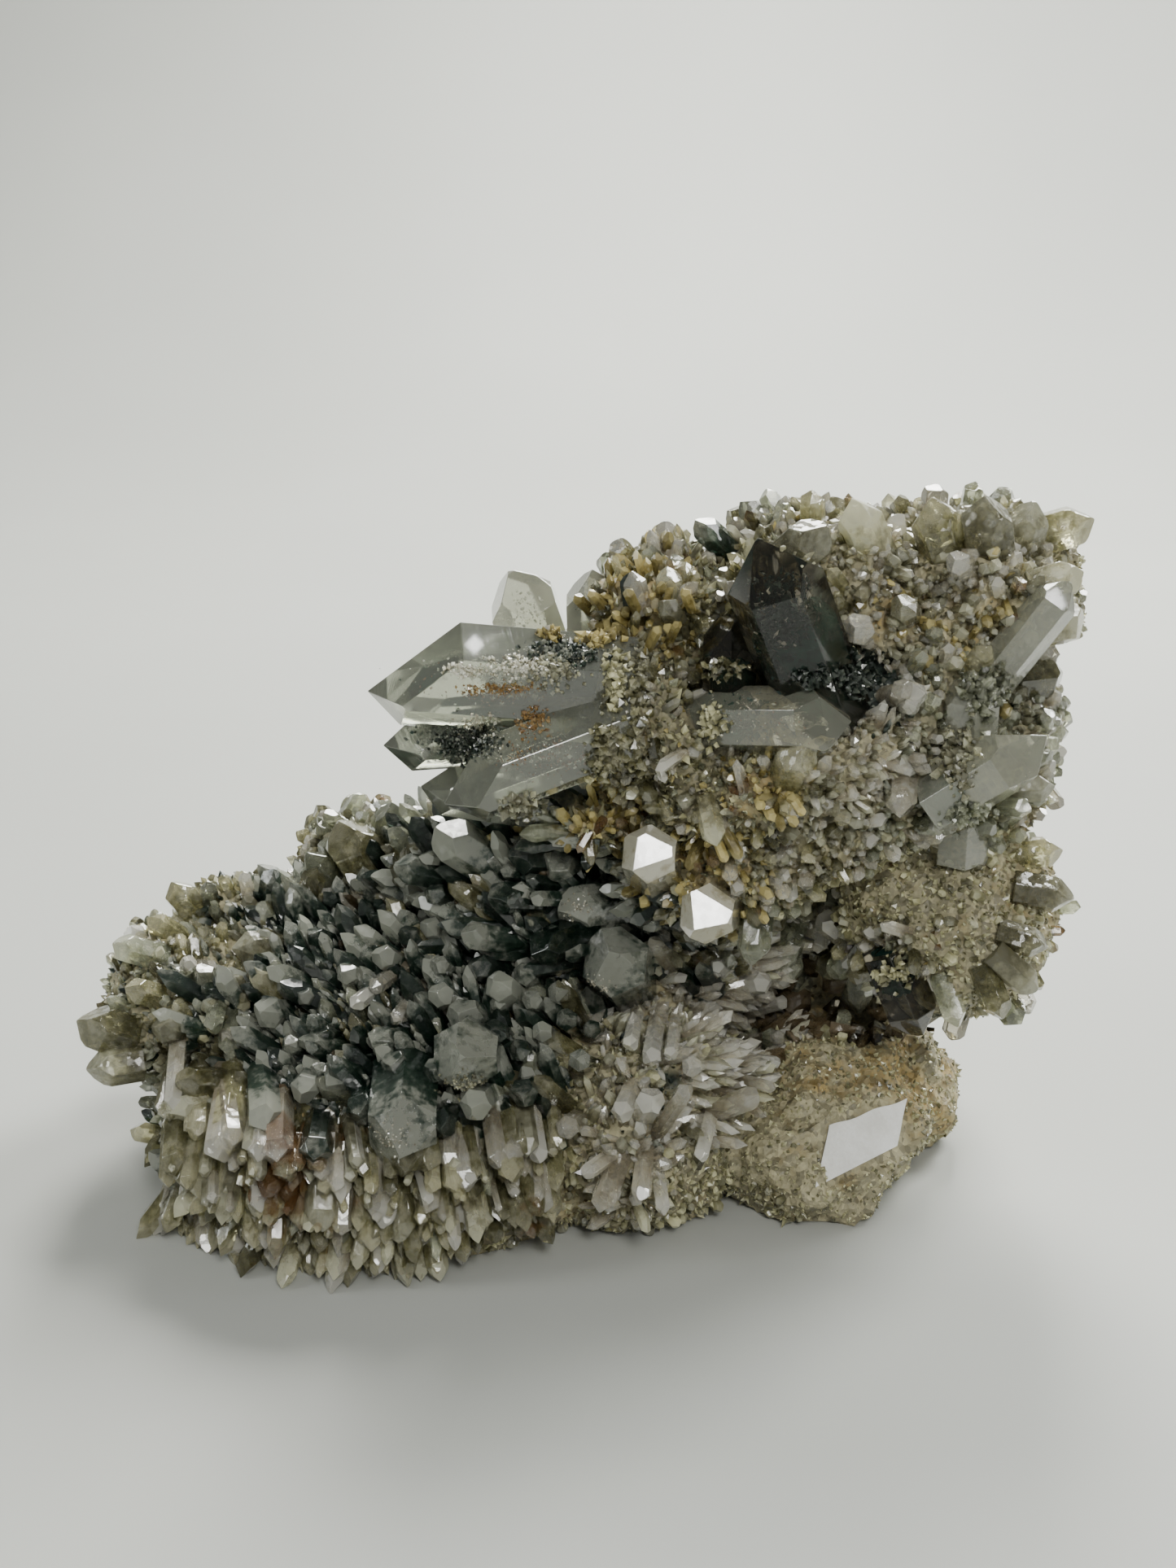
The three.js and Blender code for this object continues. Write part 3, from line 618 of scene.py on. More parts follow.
def ghost_material():
    material, tree, shader, position = start_material("chlorite_ghost")
    growth, tint, _ = mesh_values(tree, "growth")
    colour = group_node(tree, "growth", {
        "Position": position, "Growth": growth, "Tint": tint, "Blotch": 1.5, "Spread": 0.3,
        "Shift": SHIFT, **GHOST_COLOURS,
    })["Color"]
    pale = group_node(tree, "specks", {"Position": position, "Size": 1.2, "Cover": 0.12})
    cloud = group_node(tree, "specks", {"Position": position, "Size": 2.4, "Cover": 0.75})
    solid = stepped(tree, growth, 1.0, 0.6)
    fill(tree, shader, {
        "Base Color": mixed(tree, pale["Mask"], colour, DUST_COLOUR),
        "Alpha": math_node(tree, "MAXIMUM", cloud["Mask"], solid),
        "Roughness": 0.8, "Specular IOR Level": 0.1,
    })
    return material


def flake_material():
    material, tree, shader, position = start_material("inclusion_flakes")
    green, rust, _ = mesh_values(tree, "growth")
    colour = mixed(tree, rust, FLAKE_COLOURS["white"], FLAKE_COLOURS["rust"])
    colour = mixed(tree, green, colour, FLAKE_COLOURS["chlorite"])
    uneven = noise_value(tree, position, 0.6)
    fill(tree, shader, {
        "Base Color": scaled(tree, colour, ranged(tree, uneven, 0.6, 1.4)), "Roughness": 0.45,
    })
    return material


def crack_material():
    material, tree, shader, position = start_material("healed_crack")
    wisps = stepped(tree, noise_value(tree, position, 2.2, 6.0, 0.7), 0.44, 0.7)
    fine = noise_value(tree, position, 0.5)
    fill(tree, shader, {
        "Base Color": mixed(tree, fine, *CRACK_COLOURS),
        "Alpha": math_node(tree, "MULTIPLY", wisps, plus(tree, fine, 0.1), clamp=True),
        "Roughness": 0.35,
    })
    return material


def paper_material():
    material, tree, shader, position = start_material("label_paper")
    fibres = noise_value(tree, position, 0.5, 4.0, 0.7)
    clouds = noise_value(tree, position, 5.0, 3.0, 0.5)
    tone = plus(tree, times(tree, fibres, 0.4), times(tree, clouds, 0.6))
    tone = stepped(tree, tone, 0.35, 0.7)
    fill(tree, shader, {
        "Base Color": mixed(tree, tone, *PAPER_COLOURS),
        "Roughness": ranged(tree, fibres, 0.6, 0.85),
        "Normal": bumped(tree, fibres, 0.2, 0.05),
    })
    return material


def studio_material():
    material, tree, shader, position = start_material("studio_pale")
    tone = noise_value(tree, position, 120.0, 3.0, 0.5)
    fill(tree, shader, {"Base Color": mixed(tree, tone, *STUDIO_COLOURS), "Roughness": 0.6})
    return material


for name, values in GLASSES.items():
    finishes[name] = glass_material(name, *values)
finishes["chlorite_ghost"] = ghost_material()
finishes["inclusion_flakes"] = flake_material()
finishes["healed_crack"] = crack_material()
finishes["label_paper"] = paper_material()
studio.data.materials.append(studio_material())
print("finishes:", len(finishes))

# %% [markdown]
# ## The shape of the rock
# Two dozen lumps that run into each other give the rock its form, and they are the same lumps as in
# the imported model. A ball is pushed out unevenly for each lump and flattened below the floor. The
# balls are then made into one skin by a voxel remesh, because a union of so many balls would leave
# thin faces, while a remesh gives even ones that can be pushed about to make the crust.

# %% The lumps
ROCK_LUMPS = [
    # name, middle (u, v, y), half-sizes in x, y and z, turn about X and Y
    ("block core", (101, 90, 10), (25, 22, 20), (0, 0)),
    ("crown", (100, 74, 8), (14, 14, 10), (0, -15)),
    ("right crown", (119, 72, 12), (14, 14, 9.5), (0, 8)),
    ("right flank", (118, 92, 8), (12, 15, 14), (0, 0)),
    ("brow", (84.5, 77.5, 8), (12.5, 11, 8), (0, 30)),
    ("nose", (80, 89, 2), (9, 12, 9), (0, 0)),
    ("lower lobe", (117, 112, 2), (13, 13, 11), (0, -10)),
    ("underside", (93, 103, 2), (15, 12, 9), (0, -15)),
    ("chin", (75, 99, 4), (9, 9, 4), (0, 0)),
    ("spine", (99, 118, 26), (19, 15, 27), (0, 0)),
    ("foot", (99.5, 138.5, 2), (14.5, 17.5, 12), (0, -14)),
    ("heel", (109, 133, 11), (8.5, 12, 10), (0, -20)),
    ("plate", (52, 129, 2), (30, 23, 12), (25, 0)),
    ("front edge", (44.5, 142.5, -9), (29, 16, 13), (0, 0)),
    ("right plate", (79, 137, -4), (13.5, 15, 12.5), (0, 0)),
    ("left end", (24, 124, 6), (13, 14, 9), (15, 0)),
    ("left shoulder", (33, 115, 15), (11, 9, 7), (0, 0)),
    ("rise", (66, 109, 14), (16, 14, 12), (0, 0)),
    ("saddle", (82, 116, 13), (13, 12, 12), (0, 0)),
    ("rear hump", (46, 107.5, 24), (10, 11, 8), (0, 0)),
    ("plate back", (54, 118, 22), (32, 13, 12), (0, 0)),
    ("back wall", (91, 100, 22), (24, 16, 21), (0, 0)),
    ("back brow", (73, 86, 12), (10, 11, 8), (0, 0)),
    ("back foot", (90, 132, 22), (22, 14, 14), (0, 0)),
]
SKIN_WAVES = [
    # height against the half-size, how fast it runs along x, y and z, shift from lump to lump
    (0.06, (3.1, 2.7, 1.4), 1.7),
    (0.05, (0, 5.3, 4.1), 2.3),
    (0.04, (-6.1, 0, 7.9), 0.7),
]


def skin_reach(directions, seed):
    reach = np.ones(len(directions))
    for height, run, shift in SKIN_WAVES:
        reach += height * np.sin(directions @ np.array(run) + shift * seed)
    return reach


def lump_matrix(at, half, turn):
    turned = Matrix.Rotation(math.radians(turn[0]), 4, "X")
    turned = turned @ Matrix.Rotation(math.radians(turn[1]), 4, "Y")
    return Matrix.Translation(place(*at)) @ turned @ Matrix.Diagonal((*half, 1))


lumps = [(np.array(lump_matrix(*row)), seed) for seed, (_, *row) in enumerate(ROCK_LUMPS)]
lump_inverses = [(np.linalg.inv(matrix), seed) for matrix, seed in lumps]


def transformed(points, matrix):
    return points @ matrix[:3, :3].T + matrix[:3, 3]


def inside_rock(points):
    inside = np.zeros(len(points), bool)
    for inverse, seed in lump_inverses:
        local = transformed(points, inverse)
        distance = np.linalg.norm(local, axis=1)
        inside |= distance < skin_reach(local / distance[:, None], seed)
    return inside


def depth_on_rock(u, v):
    """The depth at which the sight line through (u, v) meets the rock, or None."""
    ray = sight_ray(u, v)
    along = (SIGHT_DEPTHS - EYE[1]) / ray[1]
    met = inside_rock(EYE + along[:, None] * ray)
    return float(SIGHT_DEPTHS[met.argmax()]) if met.any() else None


print(len(lumps), "lumps; the rock at the middle of the view is at y =", depth_on_rock(72, 110))

# %% One skin over all lumps
BALL_DETAIL = 5
VOXEL = 1.0


def lump_ball(bm, matrix, seed):
    made = bmesh.ops.create_icosphere(bm, subdivisions=BALL_DETAIL, radius=1)["verts"]
    directions = np.array([vert.co for vert in made])
    points = transformed(directions * skin_reach(directions, seed)[:, None], matrix)
    points[:, 2] = np.maximum(points[:, 2], 0)
    for vert, point in zip(made, points):
        vert.co = point


def applied(piece):
    """The piece with its modifiers applied to its mesh."""
    shown = piece.evaluated_get(bpy.context.evaluated_depsgraph_get())
    mesh = bpy.data.meshes.new_from_object(shown)
    piece.modifiers.clear()
    piece.data = mesh
    return piece


def rock_skin():
    bm = bmesh.new()
    for matrix, seed in lumps:
        lump_ball(bm, matrix, seed)
    rock = object_from(mesh_from(bm, "matrix_rock"))
    remesh = rock.modifiers.new("skin", "REMESH")
    remesh.mode = "VOXEL"
    remesh.voxel_size = VOXEL
    return applied(rock)


rock = rock_skin()
print("rock skin:", len(rock.data.polygons), "faces")

# %% [markdown]
# ## Regions of the crust
# What grows on the rock changes from place to place, and the borders are soft. Each region is a
# round patch around a place on the rock: its finish, the size and lean of its crystals, and how
# green, rusty and pale the rock is below them. A point belongs to the patch that it is nearest to,
# counted in that patch's own radius, and a little noise breaks up the borders.

# %% What grows in each kind of region
GROWTHS = {
    # growth: lean in degrees, the pull that bends its crystals one way, then its layers, from the
    # largest crystals to the finest, each with shape, spacing, widths, length against width, and the
    # shares of its finishes
    "frosted": (15, (-0.9, 0.45, 0.6), [
        ("cut", 2.7, (1.4, 3.0), (1.9, 3.2), {FROSTED: 0.84, OLIVE: 0.08, GREY_GREEN: 0.08}),
        ("column", 1.3, (0.5, 1.3), (2.0, 3.4),
         {FROSTED: 0.66, OLIVE: 0.14, BROWN: 0.12, GREY_GREEN: 0.08}),
    ]),
    "sugar": (28, (-0.6, 0.3, 0.4), [
        ("cut", 2.4, (0.7, 2.2), (1.1, 2.2), {SUGAR: 0.2, GREY_GREEN: 0.3, OLIVE: 0.4, FROSTED: 0.1}),
        ("point", 1.1, (0.4, 1.2), (1.3, 2.6),
         {SUGAR: 0.2, GREY_GREEN: 0.22, FROSTED: 0.32, OLIVE: 0.26}),
    ]),
    "fan": (12, (0.9, 0.1, 0.1), [
        ("column", 1.8, (0.9, 1.7), (2.8, 4.4), {CLEAR: 0.8, SUGAR: 0.2}),
        ("grain", 0.95, (0.4, 0.8), (1.0, 2.0), {CLEAR: 0.7, SUGAR: 0.3}),
    ]),
    "rosy": (34, (0.3, 0.2, 0.1), [
        ("column", 1.9, (0.7, 1.7), (1.5, 3.0), {CLEAR: 0.7, SUGAR: 0.3}),
        ("point", 1.0, (0.3, 0.9), (1.6, 3.2), {CLEAR: 0.5, SUGAR: 0.35, FROSTED: 0.15}),
    ]),
    "columns": (9, (0, -0.8, -1.4), [
        ("cut", 2.3, (1.3, 2.7), (2.0, 3.2), {OLIVE: 0.6, CLEAR: 0.2, SUGAR: 0.2}),
        ("column", 1.25, (0.5, 1.3), (2.0, 3.6), {OLIVE: 0.65, SUGAR: 0.2, GREY_GREEN: 0.15}),
    ]),
    "crust": (40, (0, 0, 0.2), [
        ("cut", 2.9, (0.8, 1.9), (1.5, 2.8), {CLEAR: 0.4, OLIVE: 0.4, SUGAR: 0.2}),
        ("grain", 0.82, (0.4, 1.1), (1.0, 1.9),
         {OLIVE: 0.35, KHAKI: 0.35, GREY_GREEN: 0.2, OCHRE: 0.1}),
    ]),
    "ochre": (30, (0, 0, 0.3), [
        ("cut", 2.2, (0.8, 1.7), (1.6, 3.0), {OCHRE: 0.7, OLIVE: 0.3}),
        ("grain", 0.9, (0.4, 1.0), (1.0, 2.0), {OCHRE: 0.45, KHAKI: 0.3, GREY_GREEN: 0.25}),
    ]),
    "khaki": (45, (0, 0, 0), [
        ("cut", 3.2, (0.7, 1.6), (0.8, 1.4), {KHAKI: 0.6, SUGAR: 0.4}),
        ("grain", 0.85, (0.3, 0.85), (0.8, 1.5), {KHAKI: 0.8, OLIVE: 0.2}),
    ]),
    "foot": (45, (0, 0, 0), [
        ("grain", 0.95, (0.25, 0.7), (0.7, 1.2), {KHAKI: 0.9, OLIVE: 0.1}),
    ]),
    "chunky": (34, (0, -0.1, 0.1), [
        ("column", 2.1, (0.8, 2.1), (0.9, 2.0), {CLEAR: 0.4, SUGAR: 0.4, OLIVE: 0.2}),
        ("point", 1.0, (0.35, 1.1), (1.2, 2.4), {SUGAR: 0.45, OLIVE: 0.35, CLEAR: 0.2}),
    ]),
    "golden": (36, (0, -0.1, 0.1), [
        ("column", 2.1, (0.8, 2.0), (1.0, 2.2), {SUGAR: 0.45, CLEAR: 0.4, OCHRE: 0.15}),
        ("point", 1.0, (0.35, 1.0), (1.2, 2.2), {CLEAR: 0.35, OCHRE: 0.15, SUGAR: 0.5}),
    ]),
    "greenish": (28, (0, -0.1, 0.3), [
        ("cut", 2.8, (1.0, 2.7), (1.0, 1.9), {GREY_GREEN: 0.6, CLEAR: 0.4}),
        ("point", 1.1, (0.4, 1.2), (1.2, 2.2), {GREY_GREEN: 0.6, SUGAR: 0.4}),
    ]),
    "chlorite": (50, (0, 0, 0), [
        ("grain", 1.1, (0.4, 0.9), (0.7, 1.2), {FROSTED: 1.0}),
    ]),
    "bare": (20, (0, 0, 0), [
        ("chunk", 3.0, (2.0, 4.2), (0.3, 0.5), {BROWN: 1.0}),
        ("grain", 2.0, (0.4, 1.0), (0.7, 1.2), {BROWN: 0.6, OLIVE: 0.4}),
    ]),
    "back": (30, (0, 0, 0.2), [
        ("cut", 3.3, (1.4, 3.6), (0.9, 1.7), {OLIVE: 0.4, GREY_GREEN: 0.35, CLEAR: 0.25}),
        ("point", 1.6, (0.7, 1.6), (1.0, 1.9), {SUGAR: 0.4, OLIVE: 0.3, GREY_GREEN: 0.3}),
    ]),
}
SOFT_BORDER, BORDER_SHARPNESS, LEAST_WEIGHT = 0.15, 2.5, 1e-9

# %% Where the regions lie
REGIONS = [
    # growth, u, v, radius, then chlorite, iron and pale in hundredths
    ("sugar", 16, 124, 9, 10, 10, 60),
    ("sugar", 26, 113, 8, 15, 10, 60),
    ("sugar", 23, 135, 7, 20, 20, 50),
    ("sugar", 31, 118, 5, 20, 10, 70),
    ("greenish", 47, 105, 7, 40, 20, 20),
    ("frosted", 38, 116, 7, 85, 5, 10),
    ("frosted", 48, 115, 9, 90, 5, 10),
    ("frosted", 60, 112, 9, 100, 0, 5),
    ("frosted", 70, 108, 8, 100, 5, 5),
    ("frosted", 72, 120, 8, 90, 5, 10),
    ("frosted", 60, 124, 9, 85, 10, 10),
    ("frosted", 46, 126, 9, 80, 15, 15),
    ("frosted", 36, 126, 6, 80, 10, 15),
    ("frosted", 62, 133, 7, 75, 10, 15),
    ("frosted", 52, 135, 6, 75, 15, 15),
    ("columns", 26, 142, 6, 35, 30, 35),
    ("columns", 35, 141, 7, 25, 75, 35),
    ("columns", 44, 146, 7, 35, 35, 35),
    ("columns", 54, 146, 7, 35, 30, 35),
    ("columns", 64, 145, 6, 30, 35, 40),
    ("rosy", 80, 126, 7, 25, 35, 80),
    ("fan", 90, 123, 6, 10, 50, 100),
    ("fan", 88, 132, 7, 10, 40, 100),
    ("rosy", 78, 138, 7, 20, 20, 80),
    ("rosy", 76, 146, 7, 15, 15, 80),
    ("chlorite", 82, 133, 2.5, 90, 0, 10),
    ("bare", 103, 126, 8, 30, 45, 0),
    ("bare", 96, 121, 5, 50, 40, 0),
    ("bare", 112, 125, 5, 40, 40, 10),
    ("foot", 114.6, 130.6, 5, 10, 50, 60),
    ("foot", 113, 141, 6, 10, 35, 60),
    ("foot", 93, 139, 7, 15, 30, 60),
    ("foot", 103, 142, 8, 10, 30, 60),
    ("foot", 112, 134, 7, 10, 60, 60),
    ("foot", 100, 132, 5, 15, 50, 40),
    ("crust", 80, 86, 8, 30, 20, 30),
    ("crust", 85, 95, 8, 30, 20, 30),
    ("crust", 79, 92, 6, 40, 25, 30),
    ("crust", 92, 100, 6, 20, 40, 45),
    ("ochre", 77, 75, 6, 20, 50, 40),
    ("ochre", 66, 100, 5, 20, 45, 60),
    ("ochre", 75, 101, 5, 20, 50, 60),
    ("ochre", 87, 104, 5, 20, 55, 50),
    ("ochre", 95, 97, 4, 20, 50, 50),
    ("crust", 90, 71, 6, 50, 30, 30),
    ("chlorite", 106, 84, 5, 100, 0, 0),
    ("crust", 95, 78, 5, 50, 10, 20),
    ("chunky", 104, 67, 7, 20, 15, 60),
    ("chunky", 115, 67, 8, 10, 15, 70),
    ("chunky", 127, 66, 7, 10, 20, 60),
    ("golden", 110, 76, 6, 15, 40, 65),
    ("golden", 119, 76, 6, 10, 45, 70),
    ("chunky", 126, 79, 5, 15, 20, 60),
    ("chunky", 100, 102, 6, 15, 30, 60),
    ("rosy", 106, 95, 6, 20, 20, 60),
    ("greenish", 118, 88, 7, 40, 10, 40),
    ("greenish", 122, 97, 7, 35, 15, 40),
    ("greenish", 112, 100, 5, 35, 10, 45),
    ("khaki", 126, 106, 7, 10, 45, 60),
    ("khaki", 115, 110, 8, 30, 25, 50),
    ("khaki", 105, 110, 7, 15, 35, 60),
    ("khaki", 121, 118, 8, 30, 30, 50),
    ("crust", 110, 117, 5, 50, 20, 35),
]
HIDDEN_REGIONS = [
    # growth, x, y, z, radius, then chlorite, iron and pale in hundredths
    ("back", -30, 34, 20, 22, 50, 20, 35),
    ("back", 5, 40, 25, 20, 55, 25, 35),
    ("back", 30, 44, 40, 24, 40, 30, 40),
    ("back", 40, 36, 66, 18, 25, 30, 50),
    ("khaki", 58, 20, 30, 14, 20, 40, 50),
    ("khaki", 34, 40, 8, 14, 20, 40, 50),
    ("back", 5, 28, 66, 14, 30, 30, 45),
    ("frosted", 0, 28, 46, 12, 80, 10, 20),
    ("khaki", 0, -10, 0, 24, 30, 30, 50),
    ("sugar", -52, 18, 14, 12, 20, 15, 55),
    ("foot", 47, 8, 10, 10, 10, 50, 60),
    ("foot", 47, 22, 10, 11, 10, 40, 60),
]
GROWTH_NAMES = list(GROWTHS)


def region_table():
    rows = [(growth, *place(u, v, depth_on_rock(u, v)), *rest) for growth, u, v, *rest in REGIONS]
    return np.array([
        (x, y, z, radius, GROWTH_NAMES.index(growth), *(share / 100 for share in ground))
        for growth, x, y, z, radius, *ground in rows + HIDDEN_REGIONS
    ])


regions = region_table()


def region_distances(points):
    """How far each point is from each region, counted in that region's radius."""
    apart = points[:, None, :] - regions[None, :, :3]
    return np.linalg.norm(apart, axis=2) / regions[None, :, 3]


def ground_at(points):
    """How green, rusty and pale the rock is at each point, blended over the near regions."""
    weight = np.exp(-BORDER_SHARPNESS * region_distances(points) ** 2) + LEAST_WEIGHT
    return (weight @ regions[:, 5:8]) / weight.sum(axis=1, keepdims=True)


print(len(regions), "regions of", len(GROWTHS), "kinds of growth")

# %% [markdown]
# ## The label's face
# The paper label is stuck on a flat broken face of the foot. Its plane is worked out from where three
# of its corners are seen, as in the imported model, before the rock is roughened, so that the rock can
# be kept flat below it.

# %% The plane of the label
LABEL_CORNERS = {"low_left": (100.4, 144.9), "low_right": (111.3, 140.1), "top_left": (101.5, 139.4)}
LABEL_WIDTH, LABEL_HEIGHT, LABEL_MARGIN, FACE_DEPTH, FIT_GAP = 12.7, 5.8, 1, 0.8, 0.3


def label_matrix():
    corner = {
        name: Vector(place(*seen, depth_on_rock(*seen))) for name, seen in LABEL_CORNERS.items()
    }
    right = (corner["low_right"] - corner["low_left"]).normalized()
    outward = right.cross(corner["top_left"] - corner["low_left"]).normalized()
    up = outward.cross(right)
    middle = (corner["top_left"] + corner["low_right"]) / 2 - outward * FACE_DEPTH
    return Matrix((right, up, outward)).transposed().to_4x4(), middle


label_turn, label_middle = label_matrix()
label_place = Matrix.Translation(label_middle) @ label_turn
to_label = np.array(label_place.inverted())
print("label faces", [round(c, 2) for c in label_turn.col[2][:3]])

# %% Roughening the rock
ROUGHNESS_SCALES = [(5.5, 0.9), (2.3, 0.55), (1.1, 0.3)]
CELL_SIZE, CELL_HEIGHT, CELL_LEVEL = 2.6, 0.9, 0.45
FLAT_BELOW = 0.5
PRESSED = [
    # x, y, z, reach and depth of hollows where the outline lies farther in
    (-57, -12, 4, 13, 4.5), (-50, -20, 2, 12, 2.5), (-62, -2, 2, 10, 3),
    (61, 8, 54, 9, 2.5), (60, 6, 40, 6, 1.5),
]


def mesh_points(mesh, values="co"):
    points = np.empty(len(mesh.vertices) * 3)
    mesh.vertices.foreach_get(values, points)
    return points.reshape(-1, 3)


def set_colours(mesh, name, colours):
    mesh.attributes.new(name, "FLOAT_COLOR", "POINT").data.foreach_set("color", colours.ravel())


def crust_heights(points):
    heights = np.zeros(len(points))
    for x, y, z, reach, depth in PRESSED:
        away = np.linalg.norm(points - (x, y, z), axis=1) / reach
        heights -= depth * np.exp(-away ** 2)
    for size, height in ROUGHNESS_SCALES:
        heights += [height * noise.noise(Vector(point) / size) for point in points]
    cells = [noise.voronoi(Vector(point) / CELL_SIZE)[0][0] for point in points]
    return heights - CELL_HEIGHT * (np.array(cells) - CELL_LEVEL)


def over_label(local):
    """True for points, given from the label's middle, that lie over it or just beside it."""
    over = abs(local[:, 0]) < LABEL_WIDTH / 2 + LABEL_MARGIN
    return over & (abs(local[:, 1]) < LABEL_HEIGHT / 2 + LABEL_MARGIN)


def flattened_at_label(points):
    """The points, with those in front of the label's face brought back to it."""
    local = transformed(points, to_label)
    near = over_label(local) & (local[:, 2] > -FIT_GAP) & (local[:, 2] < 2 * LABEL_HEIGHT)
    local[near, 2] = 0
    return transformed(local, np.array(label_place))


def roughen(mesh):
    points = mesh_points(mesh)
    lifted = points + mesh_points(mesh, "normal") * crust_heights(points)[:, None]
    low = points[:, 2] < FLAT_BELOW
    lifted[low] = points[low]
    lifted = np.clip(flattened_at_label(lifted), BOX_LOW, BOX_HIGH)
    mesh.vertices.foreach_set("co", lifted.ravel())
    set_colours(mesh, "ground", np.column_stack([ground_at(points), np.ones(len(points))]))
    mesh.update()


roughen(rock.data)
rock_points = mesh_points(rock.data)
print("rock from", rock_points.min(0).round(1), "to", rock_points.max(0).round(1))

# %% [markdown]
# ## One crystal
# A quartz point is a six-sided prism whose end is cut by six sloping faces, three of them running to
# the apex. It could be drawn corner by corner, but cutting is closer to how the faces meet: a cone
# shape with equal ends gives the prism, and `bisect_plane` cuts each face. A small bevel then gives
# the edges the soft line that real crystals have.

# %% Cutting and placing a point
TIP_SLOPE = math.radians(38.2)
APEX_STEP, OUTER_STEP, ROLLS = (0, 0.12), (0.15, 0.65), (0, 60)
FARTHEST_ROOT, SIGHT_STEP, EMBED = 20, 0.5, 1.5
SHARP_ANGLE, STEEP = 0.15, 0.9


def number_source(seed):
    """A repeatable source of numbers from 0 to 1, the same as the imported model's."""
    state = seed
    while True:
        state = (state * 1664525 + 1013904223) & 0xFFFFFFFF
        yield state / 4294967296


def within(limits, share):
    return limits[0] + (limits[1] - limits[0]) * share


def between(limits, numbers):
    return within(limits, next(numbers))


def tip_faces(numbers):
    return [between(OUTER_STEP if side % 2 else APEX_STEP, numbers) for side in range(6)]


def standing_on(root, tip, roll=0.0):
    axis = (tip - root).normalized()
    up = Vector((0, 1, 0)) if abs(axis.z) > STEEP else Vector((0, 0, 1))
    side = up.cross(axis).normalized()
    side.rotate(Matrix.Rotation(math.radians(roll), 3, axis))
    across = axis.cross(side)
    return Matrix.Translation(root) @ Matrix((side, across, axis)).transposed().to_4x4()


def cut_away(bm, at, outward):
    """Cuts off what lies beyond a plane and closes the cut."""
    bmesh.ops.bisect_plane(
        bm, geom=bm.verts[:] + bm.edges[:] + bm.faces[:], dist=1e-5, plane_co=at,
        plane_no=outward, clear_outer=True,
    )
    bmesh.ops.holes_fill(bm, edges=[edge for edge in bm.edges if edge.is_boundary], sides=0)


def tip_face_normal(side):
    around = (side + 0.5) * math.pi / 3
    return Vector((
        math.sin(around) * math.cos(TIP_SLOPE),
        math.cos(around) * math.cos(TIP_SLOPE),
        math.sin(TIP_SLOPE),
    ))


def soften(bm, edges, width, steps=1):
    bmesh.ops.bevel(
        bm, geom=edges, offset=width, offset_type="OFFSET", segments=steps, affect="EDGES",
        profile=0.5, material=-1, clamp_overlap=True,
    )


def cut_point(length, width, faces, bevel=0.0, bevel_steps=1, extra=None):
    """A point standing on the origin along Z, as a bmesh. An extra face has a normal and a depth."""
    bm = bmesh.new()
    radius = width / 2
    bmesh.ops.create_cone(
        bm, cap_ends=True, segments=6, radius1=radius, radius2=radius, depth=2 * length
    )
    cut_away(bm, (0, 0, 0), (0, 0, -1))
    for side, step_out in enumerate(faces):
        cut_away(bm, Vector((0, 0, length + step_out * radius)), tip_face_normal(side))
    if extra:
        normal, depth = extra
        cut_away(bm, Vector((0, 0, length)) - depth * normal, normal)
    bmesh.ops.recalc_face_normals(bm, faces=bm.faces)
    if bevel:
        sharp = [edge for edge in bm.edges if edge.calc_face_angle(0) > SHARP_ANGLE]
        soften(bm, sharp, bevel, bevel_steps)
    return bm


def bm_arrays(bm):
    """A bmesh as an array of points, the corners of all faces in a row, and each face's sides."""
    bm.verts.index_update()
    points = np.array([vert.co for vert in bm.verts])
    corners = np.array([vert.index for face in bm.faces for vert in face.verts])
    sides = np.array([len(face.verts) for face in bm.faces])
    bm.free()
    return points, corners, sides


trial = bm_arrays(cut_point(10, 4, [0, 0.3, 0.1, 0.3, 0, 0.4], 0.12))
print("a bevelled point has", len(trial[0]), "corners and", len(trial[2]), "faces")

# %% From what is seen to a crystal's two ends
def root_depth(tip, root):
    onward = np.array([root[0] - tip[0], root[1] - tip[1]])
    onward = onward / np.linalg.norm(onward)
    for moved in np.arange(0, FARTHEST_ROOT, SIGHT_STEP):
        depth = depth_on_rock(*(np.array(root) + moved * onward))
        if depth is not None:
            return depth
    return 0.0


def ends_of(tip, root, lift, y=None):
    depth = root_depth(tip, root) if y is None else y
    behind_tip = y if y is not None else depth_on_rock(*tip)
    behind_tip = depth if behind_tip is None else behind_tip
    tip_point = place(*tip, min(depth, behind_tip) - lift)
    root_point = place(*root, depth)
    step = (root_point - tip_point) / np.linalg.norm(root_point - tip_point)
    moved = 0.0
    while moved < FARTHEST_ROOT and not inside_rock(root_point[None])[0]:
        root_point = root_point + step * SIGHT_STEP
        moved += SIGHT_STEP
    return Vector(tip_point), Vector(root_point + step * EMBED)


# %% [markdown]
# ## Joining many crystals in one mesh
# Thousands of crystals would be slow as objects of their own. Their points and faces are collected in
# arrays instead, and one mesh is made from them for each finish. Each corner keeps how far up its
# crystal it lies, the crystal's tint and its stain, which the finishes read. A crystal that would
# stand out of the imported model's box is moved back into it. Beige is left to two larger points.

# %% A collector for joined crystals
GROWN = {name: [] for name in CRYSTAL_FINISHES if name != BEIGE}


def back_in_box(points):
    """Whole crystals moved so that they stay in the box; points is (crystals, corners, 3)."""
    over = np.maximum(points.max(axis=1) - BOX_HIGH, 0)
    under = np.maximum(BOX_LOW - points.min(axis=1), 0)
    return points + (under - over)[:, None, :]


def growth_colours(points, tints, stains):
    """For each copy of a shape: how far up each point lies, and the copy's tint and stain."""
    colours = np.ones((len(tints), len(points), 4))
    colours[:, :, 0] = np.clip(points[:, 2] / points[:, 2].max(), 0, 1)
    colours[:, :, 1] = np.asarray(tints)[:, None]
    colours[:, :, 2] = np.asarray(stains)[:, None]
    return colours.reshape(-1, 4)


